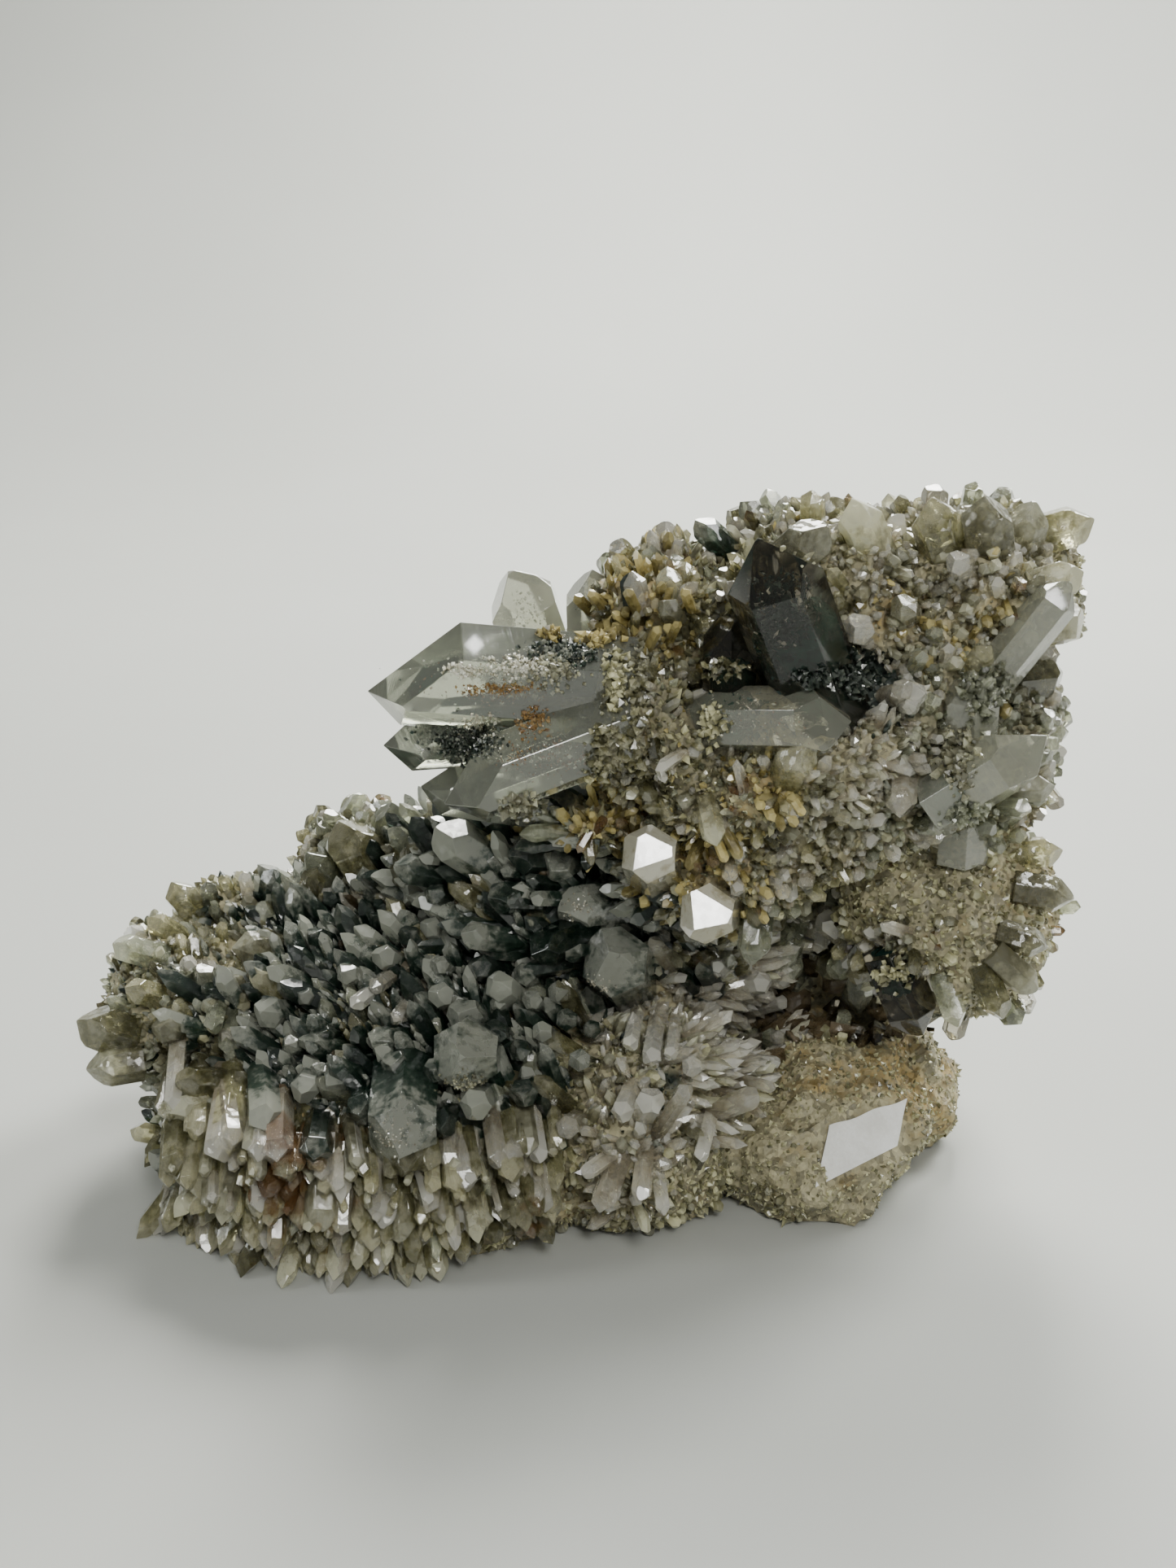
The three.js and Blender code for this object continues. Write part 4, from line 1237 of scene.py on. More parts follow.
def grow(finish, shape, matrices, tints, stains):
    """Adds one shape, placed by each 4 by 4 matrix, to the crystals of a finish."""
    points, corners, sides = shape
    matrices = np.asarray(matrices)
    placed = points @ matrices[:, :3, :3].transpose(0, 2, 1) + matrices[:, None, :3, 3]
    all_corners = corners[None, :] + len(points) * np.arange(len(matrices))[:, None]
    GROWN[finish].append((
        back_in_box(placed).reshape(-1, 3), all_corners.ravel(), np.tile(sides, len(matrices)),
        growth_colours(points, tints, stains),
    ))


def joined_mesh(name, parts):
    starts = np.cumsum([0] + [len(part[0]) for part in parts[:-1]])
    points, _, sides, colours = (np.concatenate(kind) for kind in zip(*parts))
    corners = np.concatenate([part[1] + start for part, start in zip(parts, starts)])
    mesh = bpy.data.meshes.new(name)
    mesh.vertices.add(len(points))
    mesh.vertices.foreach_set("co", points.ravel())
    mesh.loops.add(len(corners))
    mesh.loops.foreach_set("vertex_index", corners.astype(np.int32))
    mesh.polygons.add(len(sides))
    mesh.polygons.foreach_set("loop_start", (np.cumsum(sides) - sides).astype(np.int32))
    mesh.update(calc_edges=True)
    mesh.shade_flat()
    set_colours(mesh, "growth", colours)
    return mesh


made_pieces = []


def finish_piece(name, mesh, finish, replaced=()):
    """Brings a mesh from millimetres to its place in metres and makes it a piece."""
    mesh.transform(Matrix.Scale(MM, 4) @ Matrix.Translation(-Vector(BASE_MIDDLE)))
    piece = bpy.data.objects.get(name) or object_from(mesh)
    mesh.materials.append(finishes[finish])
    made_pieces.append(piece)
    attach(piece, "root")
    if replaced:
        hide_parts(*replaced)
    return piece


def triangles(mesh):
    mesh.calc_loop_triangles()
    return len(mesh.loop_triangles)


def triangles_in(part):
    return int((part[2] - 2).sum())


print("crystals will be joined by finish:", ", ".join(GROWN))

# %% [markdown]
# ## The middle-sized crystals
# The crystals that a viewer would pick out one by one stand where they are seen: each row has the
# tip, the root, the width, and how far the tip comes forward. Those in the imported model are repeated
# from it, and slender ones that are too fine for it are added. In the hollow their edges are worn
# round by frost, so their bevel is wide.

# %% Rows of crystals
SMALL_POINTS = {
    "under the overhang": [
        (62.5, 105.2, 70, 105.5, 4.6, 4), (67.6, 107, 71, 105, 4.4, 4),
        (56.7, 114.8, 63, 115.5, 3.8, 4), (65.2, 117.3, 71.5, 114.5, 5, 5),
        (60, 110.3, 65, 110.5, 4.2, 4), (53.4, 101.8, 60, 106, 6, 3),
        (82.6, 111.9, 80, 108, 4.2, 3),
    ],
    "dark field": [
        (58, 118.5, 62, 120, 4, 5), (60.7, 120.6, 63.5, 123, 4.6, 6),
        (56.4, 124.6, 58.5, 125.5, 5.4, 6), (48.4, 106.4, 55, 107.6, 4.8, 3),
        (44.6, 106.4, 46, 111, 3.4, 2), (50, 108.8, 52, 111.5, 4.4, 5),
        (41.5, 113.8, 44.5, 114.6, 3.4, 4), (38, 114.8, 41, 116, 3.2, 4),
        (52.5, 113.5, 54.5, 115.5, 3.4, 5), (32, 124.4, 35, 124.6, 4.8, 5),
        (40.2, 133.4, 44.2, 131.2, 4.2, 5), (32.6, 138.8, 32.2, 132.6, 5, 5),
        (45.6, 128.2, 49.5, 127.8, 4.6, 5), (66.4, 126.6, 67.6, 127.6, 3.2, 6),
        (63.5, 128.8, 65, 130, 3.4, 6), (53.6, 118.4, 55.4, 119.4, 3, 5),
        (35, 128.4, 38, 128.6, 3, 5), (53.2, 131.6, 55, 131.2, 3.8, 6),
        (50.2, 106, 53.5, 108.5, 4.2, 4), (52.8, 109.4, 55.5, 111, 3.6, 5),
        (46.5, 117.2, 49, 118.6, 3.8, 5), (42, 119.4, 44.5, 120.2, 3.4, 5),
        (49.8, 114.6, 51.6, 116.2, 3.4, 5), (64, 119.4, 66, 121, 3.6, 6),
        (69.4, 125, 70.6, 126.4, 3.4, 6), (60.5, 126.5, 62, 128, 3.8, 6),
        (53.8, 122, 55.4, 123.2, 3.8, 6), (48, 131, 50, 130.6, 4.2, 6),
        (44, 137, 45.6, 134.4, 4.6, 6), (37, 134.4, 38.6, 132, 4.2, 5),
        (39, 127.4, 41, 127.2, 3.8, 5), (58, 136.2, 59.6, 134.6, 4.6, 6),
        (64, 134.6, 65.4, 133.4, 4.2, 6), (54, 138.8, 55, 136.2, 4.4, 6),
        (38.6, 142.4, 39.4, 138, 4.6, 5),
    ],
    "left end": [
        (9.4, 125.4, 15, 127, 7.4, 2), (10.6, 131.5, 16, 130.6, 6, 2),
        (13.8, 116, 19, 117.4, 4.6, 2), (21, 108.4, 24.5, 112.6, 5.2, 1),
        (28.6, 116.6, 34.5, 116, 4.8, 3), (25.4, 108.4, 26, 111, 3, 1),
        (21.6, 133, 27, 133, 4.6, 4), (20.8, 136.8, 25.4, 135.4, 3.8, 4),
        (28.4, 130.2, 28.2, 125.4, 3.6, 3), (15.4, 121.4, 19, 122.4, 4.4, 3),
        (19.6, 126.4, 21.6, 126.6, 4.2, 4), (24.4, 119.6, 26, 120.6, 4, 4),
        (18, 112.8, 21.4, 114.8, 3.6, 2), (20.2, 142.6, 25, 139.6, 4.2, 4),
        (26, 126.6, 27, 123, 3, 4),
    ],
    "rear hump": [
        (41.5, 100.9, 45.5, 107, 7.6, 2), (48.2, 98.6, 47.4, 105, 4.6, 1),
        (52.4, 101.6, 50.5, 107, 5.6, 1), (37.6, 104.8, 41.4, 109, 4.2, 1),
    ],
    "right fan": [
        (94.6, 120.6, 90.6, 121.2, 4.8, 5), (96.7, 123, 90.5, 124.8, 3.2, 4),
        (96.2, 127.4, 90.6, 128.2, 3, 4), (95.9, 130.6, 90.4, 130, 2.6, 4),
        (95.3, 133.8, 90.4, 132.4, 2.4, 4), (93.2, 134.6, 87, 136.8, 4.6, 5),
        (84.8, 131.2, 86, 130.4, 4.2, 6), (80.2, 134.8, 79, 137, 5.6, 6),
        (84.6, 133.4, 80.5, 139.6, 3.3, 5), (86, 142.6, 87.6, 136, 3.1, 5),
        (69.4, 138.8, 71, 137.6, 4.6, 6), (62.6, 142.4, 64.6, 138.6, 4.4, 6),
        (73.6, 149, 76, 142.6, 5, 4), (78.6, 147.6, 79.4, 141.6, 4, 5),
        (81.6, 149.4, 80.6, 143, 3, 4), (71.6, 144.4, 76, 141.4, 3.2, 5),
        (76.2, 137.2, 77.6, 134, 4.6, 5),
    ],
    "under the block": [
        (92.4, 118.6, 93, 112.6, 4.2, 3), (95.6, 119.6, 98, 112.8, 4.2, 3),
        (101.2, 120.2, 103, 116.4, 3.4, 4), (105.6, 124.6, 104.8, 118.4, 4.2, 2),
        (117.8, 126.2, 116, 121, 3, 2), (123.2, 125.2, 121, 120, 3.6, 2),
    ],
    "block face": [
        (105.2, 77.2, 106, 77.6, 4.6, 7), (110.9, 74.4, 111.4, 75.4, 4, 5),
        (98.6, 91.8, 97, 95, 5.6, 4),
        (89.4, 71.6, 92, 74.4, 3.4, 3), (81.6, 73.8, 83.6, 77, 3.4, 3),
        (77.8, 82.2, 80, 83, 3, 4), (110.6, 100.4, 110.8, 96, 4.4, 4),
        (88, 104, 87, 99.6, 3.4, 4), (121.8, 79.4, 119, 82.6, 3.4, 3),
        (117.4, 68.8, 118.6, 70.2, 3.6, 5), (128.2, 77.4, 125.6, 80, 3.8, 3),
    ],
    "block outline": [
        (82, 69.6, 82.4, 73, 3.2, 0),
        (99.7, 60.2, 100, 65, 3, 1), (104.6, 61.2, 107, 67, 5.4, 2),
        (101.6, 64.6, 96.6, 69, 6, 4), (114.4, 61.2, 116, 67, 6.4, 2),
        (120.8, 61, 121.4, 67, 6.6, 2), (127, 61.6, 125.6, 67, 5, 1),
        (134.5, 63.9, 127, 66, 5.4, 1), (133.2, 70.4, 128, 72, 4.6, 0),
        (133.2, 76, 127.6, 77, 5.4, -3), (130.4, 83, 125, 83.6, 5.6, -3),
        (129.6, 96.6, 124, 97, 3.6, 0), (132, 110.4, 126, 109.4, 4.6, 1),
        (130.6, 104.4, 125, 105, 4, 0), (128.8, 116.4, 124, 115, 3.6, 1),
        (127.4, 121.8, 123, 118, 3.8, 1),
    ],
}
SLENDER_POINTS = {
    "dark outline": [(85.4, 63.9, 89.8, 67.8, 3.6, 1), (77.2, 70.4, 77.6, 73, 2.6, 0)],
    "pale lump": [
        (113.6, 85.2, 109.6, 85.8, 3.2, 5), (112.6, 86.8, 110, 86, 2.4, 5),
        (111, 84.2, 110.4, 86.4, 2.6, 5),
    ],
    "frosted": [
        (61.5, 106.9, 65, 107.5, 2, 3), (64.6, 108.2, 68, 108.6, 2.2, 3),
        (65.2, 110.4, 69, 110.4, 2.2, 3), (74, 107.5, 74.5, 103.5, 1.8, 2),
        (72, 107, 72.5, 103, 1.7, 2), (76.4, 109, 76.2, 104.5, 2, 2),
        (71, 130.2, 72, 130.6, 2.8, 6), (65.2, 122.6, 66, 124, 2.6, 6),
        (72.6, 126.4, 73.4, 126.8, 2.4, 6), (68.4, 121.8, 69.6, 122.8, 3, 6),
        (37.6, 118.6, 40, 119, 2.6, 4), (45.8, 112.6, 47.6, 114, 3, 4),
        (33.6, 106.8, 33, 110.6, 3, 1), (36.8, 122.2, 39, 123, 2.4, 4),
    ],
    "clear": [
        (43.2, 123.8, 48, 120, 2.2, 4), (45.5, 121.6, 50.8, 118.2, 2.2, 4),
        (48.4, 125.6, 51.6, 121.6, 2, 4), (29.9, 107.2, 30.6, 110.4, 1.9, 1),
        (82.4, 129.8, 83, 125, 1.8, 5), (77.4, 128.6, 78.6, 123.4, 2.1, 5),
        (87.6, 118.3, 91.8, 121.8, 2.2, 4), (79.8, 115.4, 82.8, 119, 2.4, 3),
        (80, 130.4, 81, 124.4, 2.5, 5), (100.4, 117.2, 101.6, 112.6, 2.2, 2),
        (77.6, 70.2, 78.6, 74, 2.8, 0),
    ],
    "ochre": [
        (97.8, 101.6, 95.6, 97.4, 1.3, 4), (96.2, 102.2, 94.8, 97.6, 1.2, 4),
        (98.8, 100.2, 96.4, 96.8, 1.1, 4), (95.2, 101, 93.6, 97.8, 1.4, 3),
        (58.2, 102.9, 62.5, 100.6, 1.6, 2), (59.6, 103.4, 63.2, 101.6, 1.2, 2),
        (91, 105.6, 88.8, 101.4, 1.4, 3), (89.2, 106, 87.6, 102, 1.2, 3),
        (77, 72.4, 78.6, 75.8, 1.5, 3), (70.6, 73.2, 73.6, 76, 1.6, 3),
        (72.4, 72.6, 74.6, 75.6, 1.2, 3), (81, 77, 79.4, 80, 1.3, 3),
        (83.4, 76.4, 82, 79.4, 1.2, 3), (84, 72.4, 85.2, 75.4, 1.3, 3),
    ],
}
ROW_FINISH = {
    "under the overhang": (FROSTED,),
    "dark field": (FROSTED,),
    "left end": (OLIVE, SUGAR, GREY_GREEN),
    "rear hump": (OLIVE, GREY_GREEN),
    "right fan": (CLEAR,),
    "under the block": (GREY_GREEN, GREY_GREEN, OLIVE),
    "block face": (CLEAR, SUGAR, OLIVE),
    "block outline": (SUGAR, OLIVE, SUGAR),
    "dark outline": (FROSTED,),
    "pale lump": (CLEAR,),
    "frosted": (FROSTED,),
    "clear": (CLEAR,),
    "ochre": (OCHRE,),
}
ROW_WIDTHS = {"right fan": 0.62, "dark field": 0.85, "left end": 0.85, "block face": 0.85}
WORN_ROWS = ("under the overhang", "dark field", "frosted")
WORN_BEVEL, FINE_BEVEL = (0.08, 2), (0.02, 1)

# %% Growing the rows
chance = np.random.default_rng(SEEDS["tints"])


def stand_point(finish, tip, root, width, roll, faces, worn=False, stain=0.0):
    bevel, steps = WORN_BEVEL if worn else FINE_BEVEL
    shape = bm_arrays(cut_point((tip - root).length, width, faces, bevel * width, steps))
    grow(finish, shape, [np.array(standing_on(root, tip, roll))], [chance.random()], [stain])


def grow_rows(tables, numbers):
    count = 0
    for group, rows in tables.items():
        for i, (tip_u, tip_v, root_u, root_v, width, lift) in enumerate(rows):
            tip, root = ends_of((tip_u, tip_v), (root_u, root_v), lift)
            roll, faces = between(ROLLS, numbers), tip_faces(numbers)
            finish = ROW_FINISH[group][i % len(ROW_FINISH[group])]
            width *= ROW_WIDTHS.get(group, 1.0)
            stand_point(finish, tip, root, width, roll, faces, group in WORN_ROWS)
            count += 1
    return count


print("standing crystals:", grow_rows(SMALL_POINTS, number_source(SEEDS["rows"])))
print("slender crystals:", grow_rows(SLENDER_POINTS, number_source(SEEDS["slender rows"])))

# %% [markdown]
# ## The fringe
# Along the front edge of the plate long olive crystals hang side by side like a fringe. Their tips
# follow one curve, so the row is worked out instead of listed.

# %% The fringe along the front edge
FRINGE_LINE = [np.array(seen) for seen in ((19.4, 145.6), (38, 158.5), (69, 150.4))]
FRINGE_LAYERS = [
    # crystals, how far above the edge, widths, lengths, lift
    (36, (0, 2.6), (2.2, 4.6), (10, 13), 3),
    (40, (6.5, 10.5), (1.6, 3.8), (7, 10), 5),
    (46, (0.5, 9.5), (0.8, 2.0), (4, 7), 4.6),
]
FRINGE_FINISHES = ((OLIVE, 0.55), (CLEAR, 0.25), (SUGAR, 0.2))
FRINGE_MIDDLE, FRINGE_SPREAD, FRINGE_JITTER = 44, 0.04, 0.7
FRINGE_OVERLAP, WIDTH_SKEW, SHORTEST = (-0.5, 1.5), 1.5, 0.6
RUST_PLACE, RUST_REACH, MOST_RUST = 36, 9, 0.6
CURVE_STEPS = 201


def curve_points(ends, along):
    """Points at the given shares of the way along a curve."""
    t = np.linspace(0, 1, CURVE_STEPS)[:, None]
    curve = (1 - t) ** 2 * ends[0] + 2 * t * (1 - t) * ends[1] + t ** 2 * ends[2]
    run = np.concatenate([[0], np.cumsum(np.linalg.norm(np.diff(curve, axis=0), axis=1))])
    wanted = run[-1] * np.asarray(along)
    return np.column_stack([np.interp(wanted, run, curve[:, k]) for k in range(2)])


def grow_fringe(count, rises, widths, lengths, lift, random, numbers):
    along = (np.arange(count) + random.uniform(*FRINGE_OVERLAP, count)) / count
    for u, v in curve_points(FRINGE_LINE, np.clip(along, 0, 1)):
        tip_seen = (u, v - random.uniform(*rises))
        width = within(widths, random.random() ** WIDTH_SKEW)
        length = random.uniform(*lengths) * (SHORTEST + (1 - SHORTEST) * width / widths[1])
        shift = (FRINGE_MIDDLE - u) * FRINGE_SPREAD + random.normal(0, FRINGE_JITTER)
        tip, root = ends_of(tip_seen, (u + shift, tip_seen[1] - length), lift + random.uniform(-1, 1))
        finish = random.choice([name for name, _ in FRINGE_FINISHES],
                               p=[share for _, share in FRINGE_FINISHES])
        stain = MOST_RUST * max(0, 1 - abs(u - RUST_PLACE) / RUST_REACH)
        stand_point(finish, tip, root, width, between(ROLLS, numbers), tip_faces(numbers),
                    stain=stain)


for seed, layer in enumerate(FRINGE_LAYERS, SEEDS["fringe"]):
    grow_fringe(*layer, np.random.default_rng(seed), number_source(seed))
print("fringe crystals:", sum(layer[0] for layer in FRINGE_LAYERS))

# %% [markdown]
# ## The large crystals
# The clear crystals that stand out of the rock are what the eye goes to first. Where several run into
# each other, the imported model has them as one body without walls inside, which is what glass needs,
# so a merged and bevelled copy of that body is used. The single ones are cut here. Points of the
# crust that would grow inside a clear crystal are left out later, so their places are kept.

# %% Where the large crystals stand
LARGE_POINTS = {
    # piece: members with tip, root, width, lift, and what only some have: roll, y, glass (a finish
    # of its own) and flash, the depth of a cut across the tip that mirrors a card
    "left_point_cluster": [
        ((42.3, 82), (76, 84.6), 12.6, 6, {}),
        ((45, 89.8), (69, 88.5), 10.4, 10, {}),
        ((53, 98.2), (76, 89.5), 9.5, 7, {}),
        ((51.7, 96.6), (68, 99), 6.4, 7, {}),
    ],
    "back_points": [
        ((62.8, 70.2), (66, 79), 9.5, 2, {"y": 13}),
        ((72.8, 70), (73, 79), 7.5, 2, {"y": 9}),
    ],
    "block_points": [
        ((93.2, 66.2), (101, 87), 11, 7, {"roll": 15}),
        ((90.3, 76.2), (90, 84), 8, 5, {}),
        ((104.4, 88.6), (88, 88.5), 8.6, 7, {"glass": "pale_quartz"}),
    ],
    "right_points": [
        ((131.5, 71.5), (121.5, 84), 5.6, 2, {"y": -2}),
        ((128.6, 90.4), (116, 98), 11, 3, {}),
        ((119.5, 82.5), (118, 104), 7, 3, {}),
    ],
    "bright_point": [
        ((79.4, 103.8), (80.5, 107), 7.2, 9, {"flash": 1.9}),
    ],
    "amber_point": [
        ((86.2, 112.8), (88, 111.5), 7.2, 9, {"flash": 1.5}),
    ],
    "frosted_point": [((74.8, 117), (77, 120), 9, 10, {})],
    "green_point": [((68.6, 111.8), (78.6, 111), 6.2, 2, {})],
    "dark_points": [
        ((49.2, 142.2), (50, 133), 9, 6, {}),
        ((56.8, 130), (58, 129), 8.6, 10, {}),
    ],
    "hanging_point": [((113.2, 127.2), (109.5, 118), 7, 1, {})],
}


def large_ends():
    """Each member's tip, root and width, by piece."""
    return {
        name: [(*ends_of(tip, root, lift, more.get("y")), width)
               for tip, root, width, lift, more in members]
        for name, members in LARGE_POINTS.items()
    }


ends = large_ends()
print("large crystals:", sum(len(members) for members in ends.values()), "in", len(ends), "pieces")

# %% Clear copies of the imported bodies
GLASS_BEVEL, GLASS_SHARP_ANGLE = 0.06, 0.3
MERGED, LEVEL_ANGLE = 0.01, 0.02
GLASS_FINISH = {
    "left_point_cluster": "clear_quartz", "back_points": "milky_quartz",
    "block_points": "smoky_quartz", "right_points": "milky_quartz",
    "hanging_point": "smoky_quartz",
}


def along_and_off(points, root, axis):
    """How far each point lies along an axis from the root, and how far off that axis."""
    away = points - np.array(root)
    run = away @ axis
    return run, np.linalg.norm(away - run[:, None] * axis, axis=1)


def distance_along(points, members):
    """For each point, how far it lies from the root of its nearest member, and that one's number."""
    best = np.full(len(points), np.inf)
    along, nearest = np.zeros((2, len(points)))
    for number, (tip, root, width) in enumerate(members):
        run, off = along_and_off(points, root, np.array((tip - root).normalized()))
        off = off / width
        nearer = off < best
        best[nearer], along[nearer], nearest[nearer] = off[nearer], run[nearer], number
    return along, nearest


def glass_copy(name):
    mesh = frame["nodes"][name].data.copy()
    mesh.name = name + "_glass"
    mesh.materials.clear()
    mesh.transform(Matrix.Translation(Vector(BASE_MIDDLE)) @ Matrix.Scale(1 / MM, 4))
    bm = bmesh.new()
    bm.from_mesh(mesh)
    bmesh.ops.remove_doubles(bm, verts=bm.verts, dist=MERGED)
    bmesh.ops.dissolve_limit(bm, angle_limit=LEVEL_ANGLE, verts=bm.verts, edges=bm.edges)
    soften(bm, [edge for edge in bm.edges if edge.is_manifold
                and edge.calc_face_angle_signed() > GLASS_SHARP_ANGLE], GLASS_BEVEL)
    bmesh.ops.triangulate(bm, faces=bm.faces)
    bm.to_mesh(mesh)
    bm.free()
    along, _ = distance_along(mesh_points(mesh), ends[name])
    mesh.attributes.new("along", "FLOAT", "POINT").data.foreach_set("value", along)
    return mesh


for name, finish in GLASS_FINISH.items():
    copy = glass_copy(name)
    print(name, triangles(copy), "triangles")
    finish_piece(name + "_glass", copy, finish, [name])
    centres = np.array([face.center for face in copy.polygons]) / MM + BASE_MIDDLE
    _, nearest = distance_along(centres, ends[name])
    for number, (*_, more) in enumerate(LARGE_POINTS[name]):
        if "glass" in more:
            copy.materials.append(finishes[more["glass"]])
            for face in np.flatnonzero(nearest == number):
                copy.polygons[int(face)].material_index = len(copy.materials) - 1

# %% [markdown]
# ## The frosted and the beige large crystals
# The round grey crystal in the hollow, the green one beside it and the pair on the front edge are
# frosted, so little light passes them, and a wide bevel gives them worn edges. Two beige points
# under the block's front edge have fine edges and one more face at the tip, which mirrors a card.
# All of them are cut like the small ones.

# %% Frosted and beige ones
CUT_FINISH = {
    "frosted_point": FROSTED, "green_point": FROSTED,
    "dark_points": FROSTED, "bright_point": BEIGE,
    "amber_point": BEIGE,
}
BEVEL_SHARE = {FROSTED: 0.16, BEIGE: 0.03}
CUT_TINT, CUT_STEPS = 0.6, 3
FLASH_TOWARD = Vector((0.1, -0.75, 0.65)).normalized()


def flash_normal(tip):
    """The normal of a face at the tip that mirrors the sight line toward a card in front."""
    along = ((tip - Vector(BASE_MIDDLE)) * MM - camera.location).normalized()
    return (FLASH_TOWARD - along).normalized()


def cut_piece(name, seed):
    numbers = number_source(seed)
    parts = []
    for (tip, root, width), (*_, more) in zip(ends[name], LARGE_POINTS[name]):
        faces = tip_faces(numbers)
        stand = standing_on(root, tip)
        extra = None
        if "flash" in more:
            extra = stand.to_3x3().transposed() @ flash_normal(tip), more["flash"]
        bevel = BEVEL_SHARE[CUT_FINISH[name]] * width
        bm = cut_point((tip - root).length, width, faces, bevel, CUT_STEPS, extra)
        points, corners, sides = bm_arrays(bm)
        placed = back_in_box(transformed(points, np.array(stand))[None])[0]
        parts.append((placed, corners, sides, growth_colours(points, [CUT_TINT], [0])))
    mesh = joined_mesh(name + "_cut", parts)
    return finish_piece(name + "_cut", mesh, CUT_FINISH[name], [name])


for seed, name in enumerate(CUT_FINISH, SEEDS["cut points"]):
    made = cut_piece(name, seed)
    print(made.name, triangles(made.data), "triangles")

# %% [markdown]
# ## Ghosts inside the clear crystals
# When a crystal stopped growing for a while, chlorite dusted its faces, and later growth closed over
# it. That green ghost has the crystal's own shape, a little smaller. It is cut like a crystal and
# stands inside the glass.

# %% Ghosts
GHOSTS = [
    # piece, member, where it begins and ends along the crystal from root to tip, width share, and
    # how far it is moved from the axis in x, y and z
    ("left_point_cluster", 0, 0.14, 0.38, 0.45, (0, -1, 2)),
    ("left_point_cluster", 1, 0.1, 0.66, 0.6, (0, 0, 0)),
    ("block_points", 0, 0.0, 0.68, 0.8, (0.5, -0.3, 0)),
    ("block_points", 1, 0.0, 0.5, 0.5, (0, 0, 0)),
    ("block_points", 2, 0.0, 0.4, 0.76, (0, -0.3, 0.3)),
    ("right_points", 1, 0.0, 0.3, 0.5, (0, 0, 0)),
    ("hanging_point", 0, 0.0, 0.5, 0.6, (0, 0, 0)),
]
GHOST_BEVEL, GHOST_TINT = 0.08, 0.5
LUMP_SIZE, LUMP_HEIGHT = 1.3, 0.35


def ghost_parts():
    numbers = number_source(SEEDS["ghosts"])
    parts = []
    for name, member, begin, end, share, moved in GHOSTS:
        tip, root, width = ends[name][member]
        low, high = (root.lerp(tip, along) + Vector(moved) for along in (begin, end))
        bm = cut_point((high - low).length, share * width, tip_faces(numbers),
                       GHOST_BEVEL * width, 2)
        bmesh.ops.triangulate(bm, faces=bm.faces)
        bmesh.ops.subdivide_edges(bm, edges=bm.edges, cuts=1, use_grid_fill=True)
        for vert in bm.verts:
            vert.co += LUMP_HEIGHT * noise.noise_vector(vert.co / LUMP_SIZE)
        points, corners, sides = bm_arrays(bm)
        stand = standing_on(low, high, LARGE_POINTS[name][member][-1].get("roll", 0))
        placed = transformed(points, np.array(stand))
        parts.append((placed, corners, sides, growth_colours(points, [GHOST_TINT], [1])))
    return parts


ghosts = joined_mesh("chlorite_ghosts", ghost_parts())
finish_piece("chlorite_ghosts", ghosts, "chlorite_ghost")
print("ghosts:", triangles(ghosts), "triangles")

# %% [markdown]
# ## The crust
# Now the rock is covered. Points are scattered over its faces by area, each takes the growth of its
# region, and one point is kept in each small cell of space so that the crystals stand about one
# width apart. A few prototypes, each with a different tip, are repeated: an array does it at once,
# and gives real faces that can be exported. Each crystal leans a little away from the rock's normal.

# %% Prototypes
APEX_SHIFT, CORNER_SHIFT = 0.16, 0.14
CHUNK_CUTS, CHUNK_DEPTHS = 6, (0.28, 0.46)


def small_cut(seed):
    """A point with six cut tip faces, of unit width and length, drawn twice as long as wide."""
    bm = cut_point(2, 1, tip_faces(number_source(seed)))
    bmesh.ops.scale(bm, verts=bm.verts, vec=(1, 1, 0.5))
    return bm


def small_point(seed, shoulder=0.66, uneven=0.14):
    """A plainer point with uneven shoulders and an apex off its axis."""
    random = np.random.default_rng(seed)
    bm = bmesh.new()
    bmesh.ops.create_cone(bm, cap_ends=True, segments=6, radius1=0.5, radius2=0.5, depth=1)
    bmesh.ops.translate(bm, verts=bm.verts, vec=(0, 0, 0.5))
    top = max(bm.faces, key=lambda face: face.calc_center_median().z)
    shoulders = list(top.verts)
    poked = bmesh.ops.poke(bm, faces=[top])["verts"]
    for vert in shoulders:
        vert.co.z = shoulder + random.uniform(-uneven, uneven)
    poked[0].co = (*random.uniform(-APEX_SHIFT, APEX_SHIFT, 2), 1)
    return bm


def small_column(seed):
    return small_point(seed, 0.76, 0.12)


def small_chunk(seed):
    """An angular broken piece: a block cut by sloping planes."""
    random = np.random.default_rng(seed)
    bm = bmesh.new()
    bmesh.ops.create_cube(bm, size=1)
    for _ in range(CHUNK_CUTS):
        outward = Vector(random.standard_normal(3)).normalized()
        cut_away(bm, outward * random.uniform(*CHUNK_DEPTHS), outward)
    bmesh.ops.translate(bm, verts=bm.verts, vec=(0, 0, 0.4))
    return bm


def small_grain(seed):
    """A tiny crystal of eight faces with its corners shifted."""
    random = np.random.default_rng(seed)
    bm = bmesh.new()
    bmesh.ops.create_uvsphere(bm, u_segments=4, v_segments=2, radius=0.6)
    for vert in bm.verts:
        vert.co += Vector(random.uniform(-CORNER_SHIFT, CORNER_SHIFT, 3))
    bmesh.ops.translate(bm, verts=bm.verts, vec=(0, 0, 0.45))
    return bm


SHAPES = {
    # shape: its maker, and how many kinds of it there are
    "cut": (small_cut, 7), "point": (small_point, 8), "column": (small_column, 8),
    "chunk": (small_chunk, 7), "grain": (small_grain, 6),
}
prototypes = {
    shape: [bm_arrays(maker(SEEDS["shapes"] + k)) for k in range(kinds)]
    for shape, (maker, kinds) in SHAPES.items()
}
for shape, kinds in prototypes.items():
    print(shape, "has", [triangles_in(kind) for kind in kinds], "triangles")

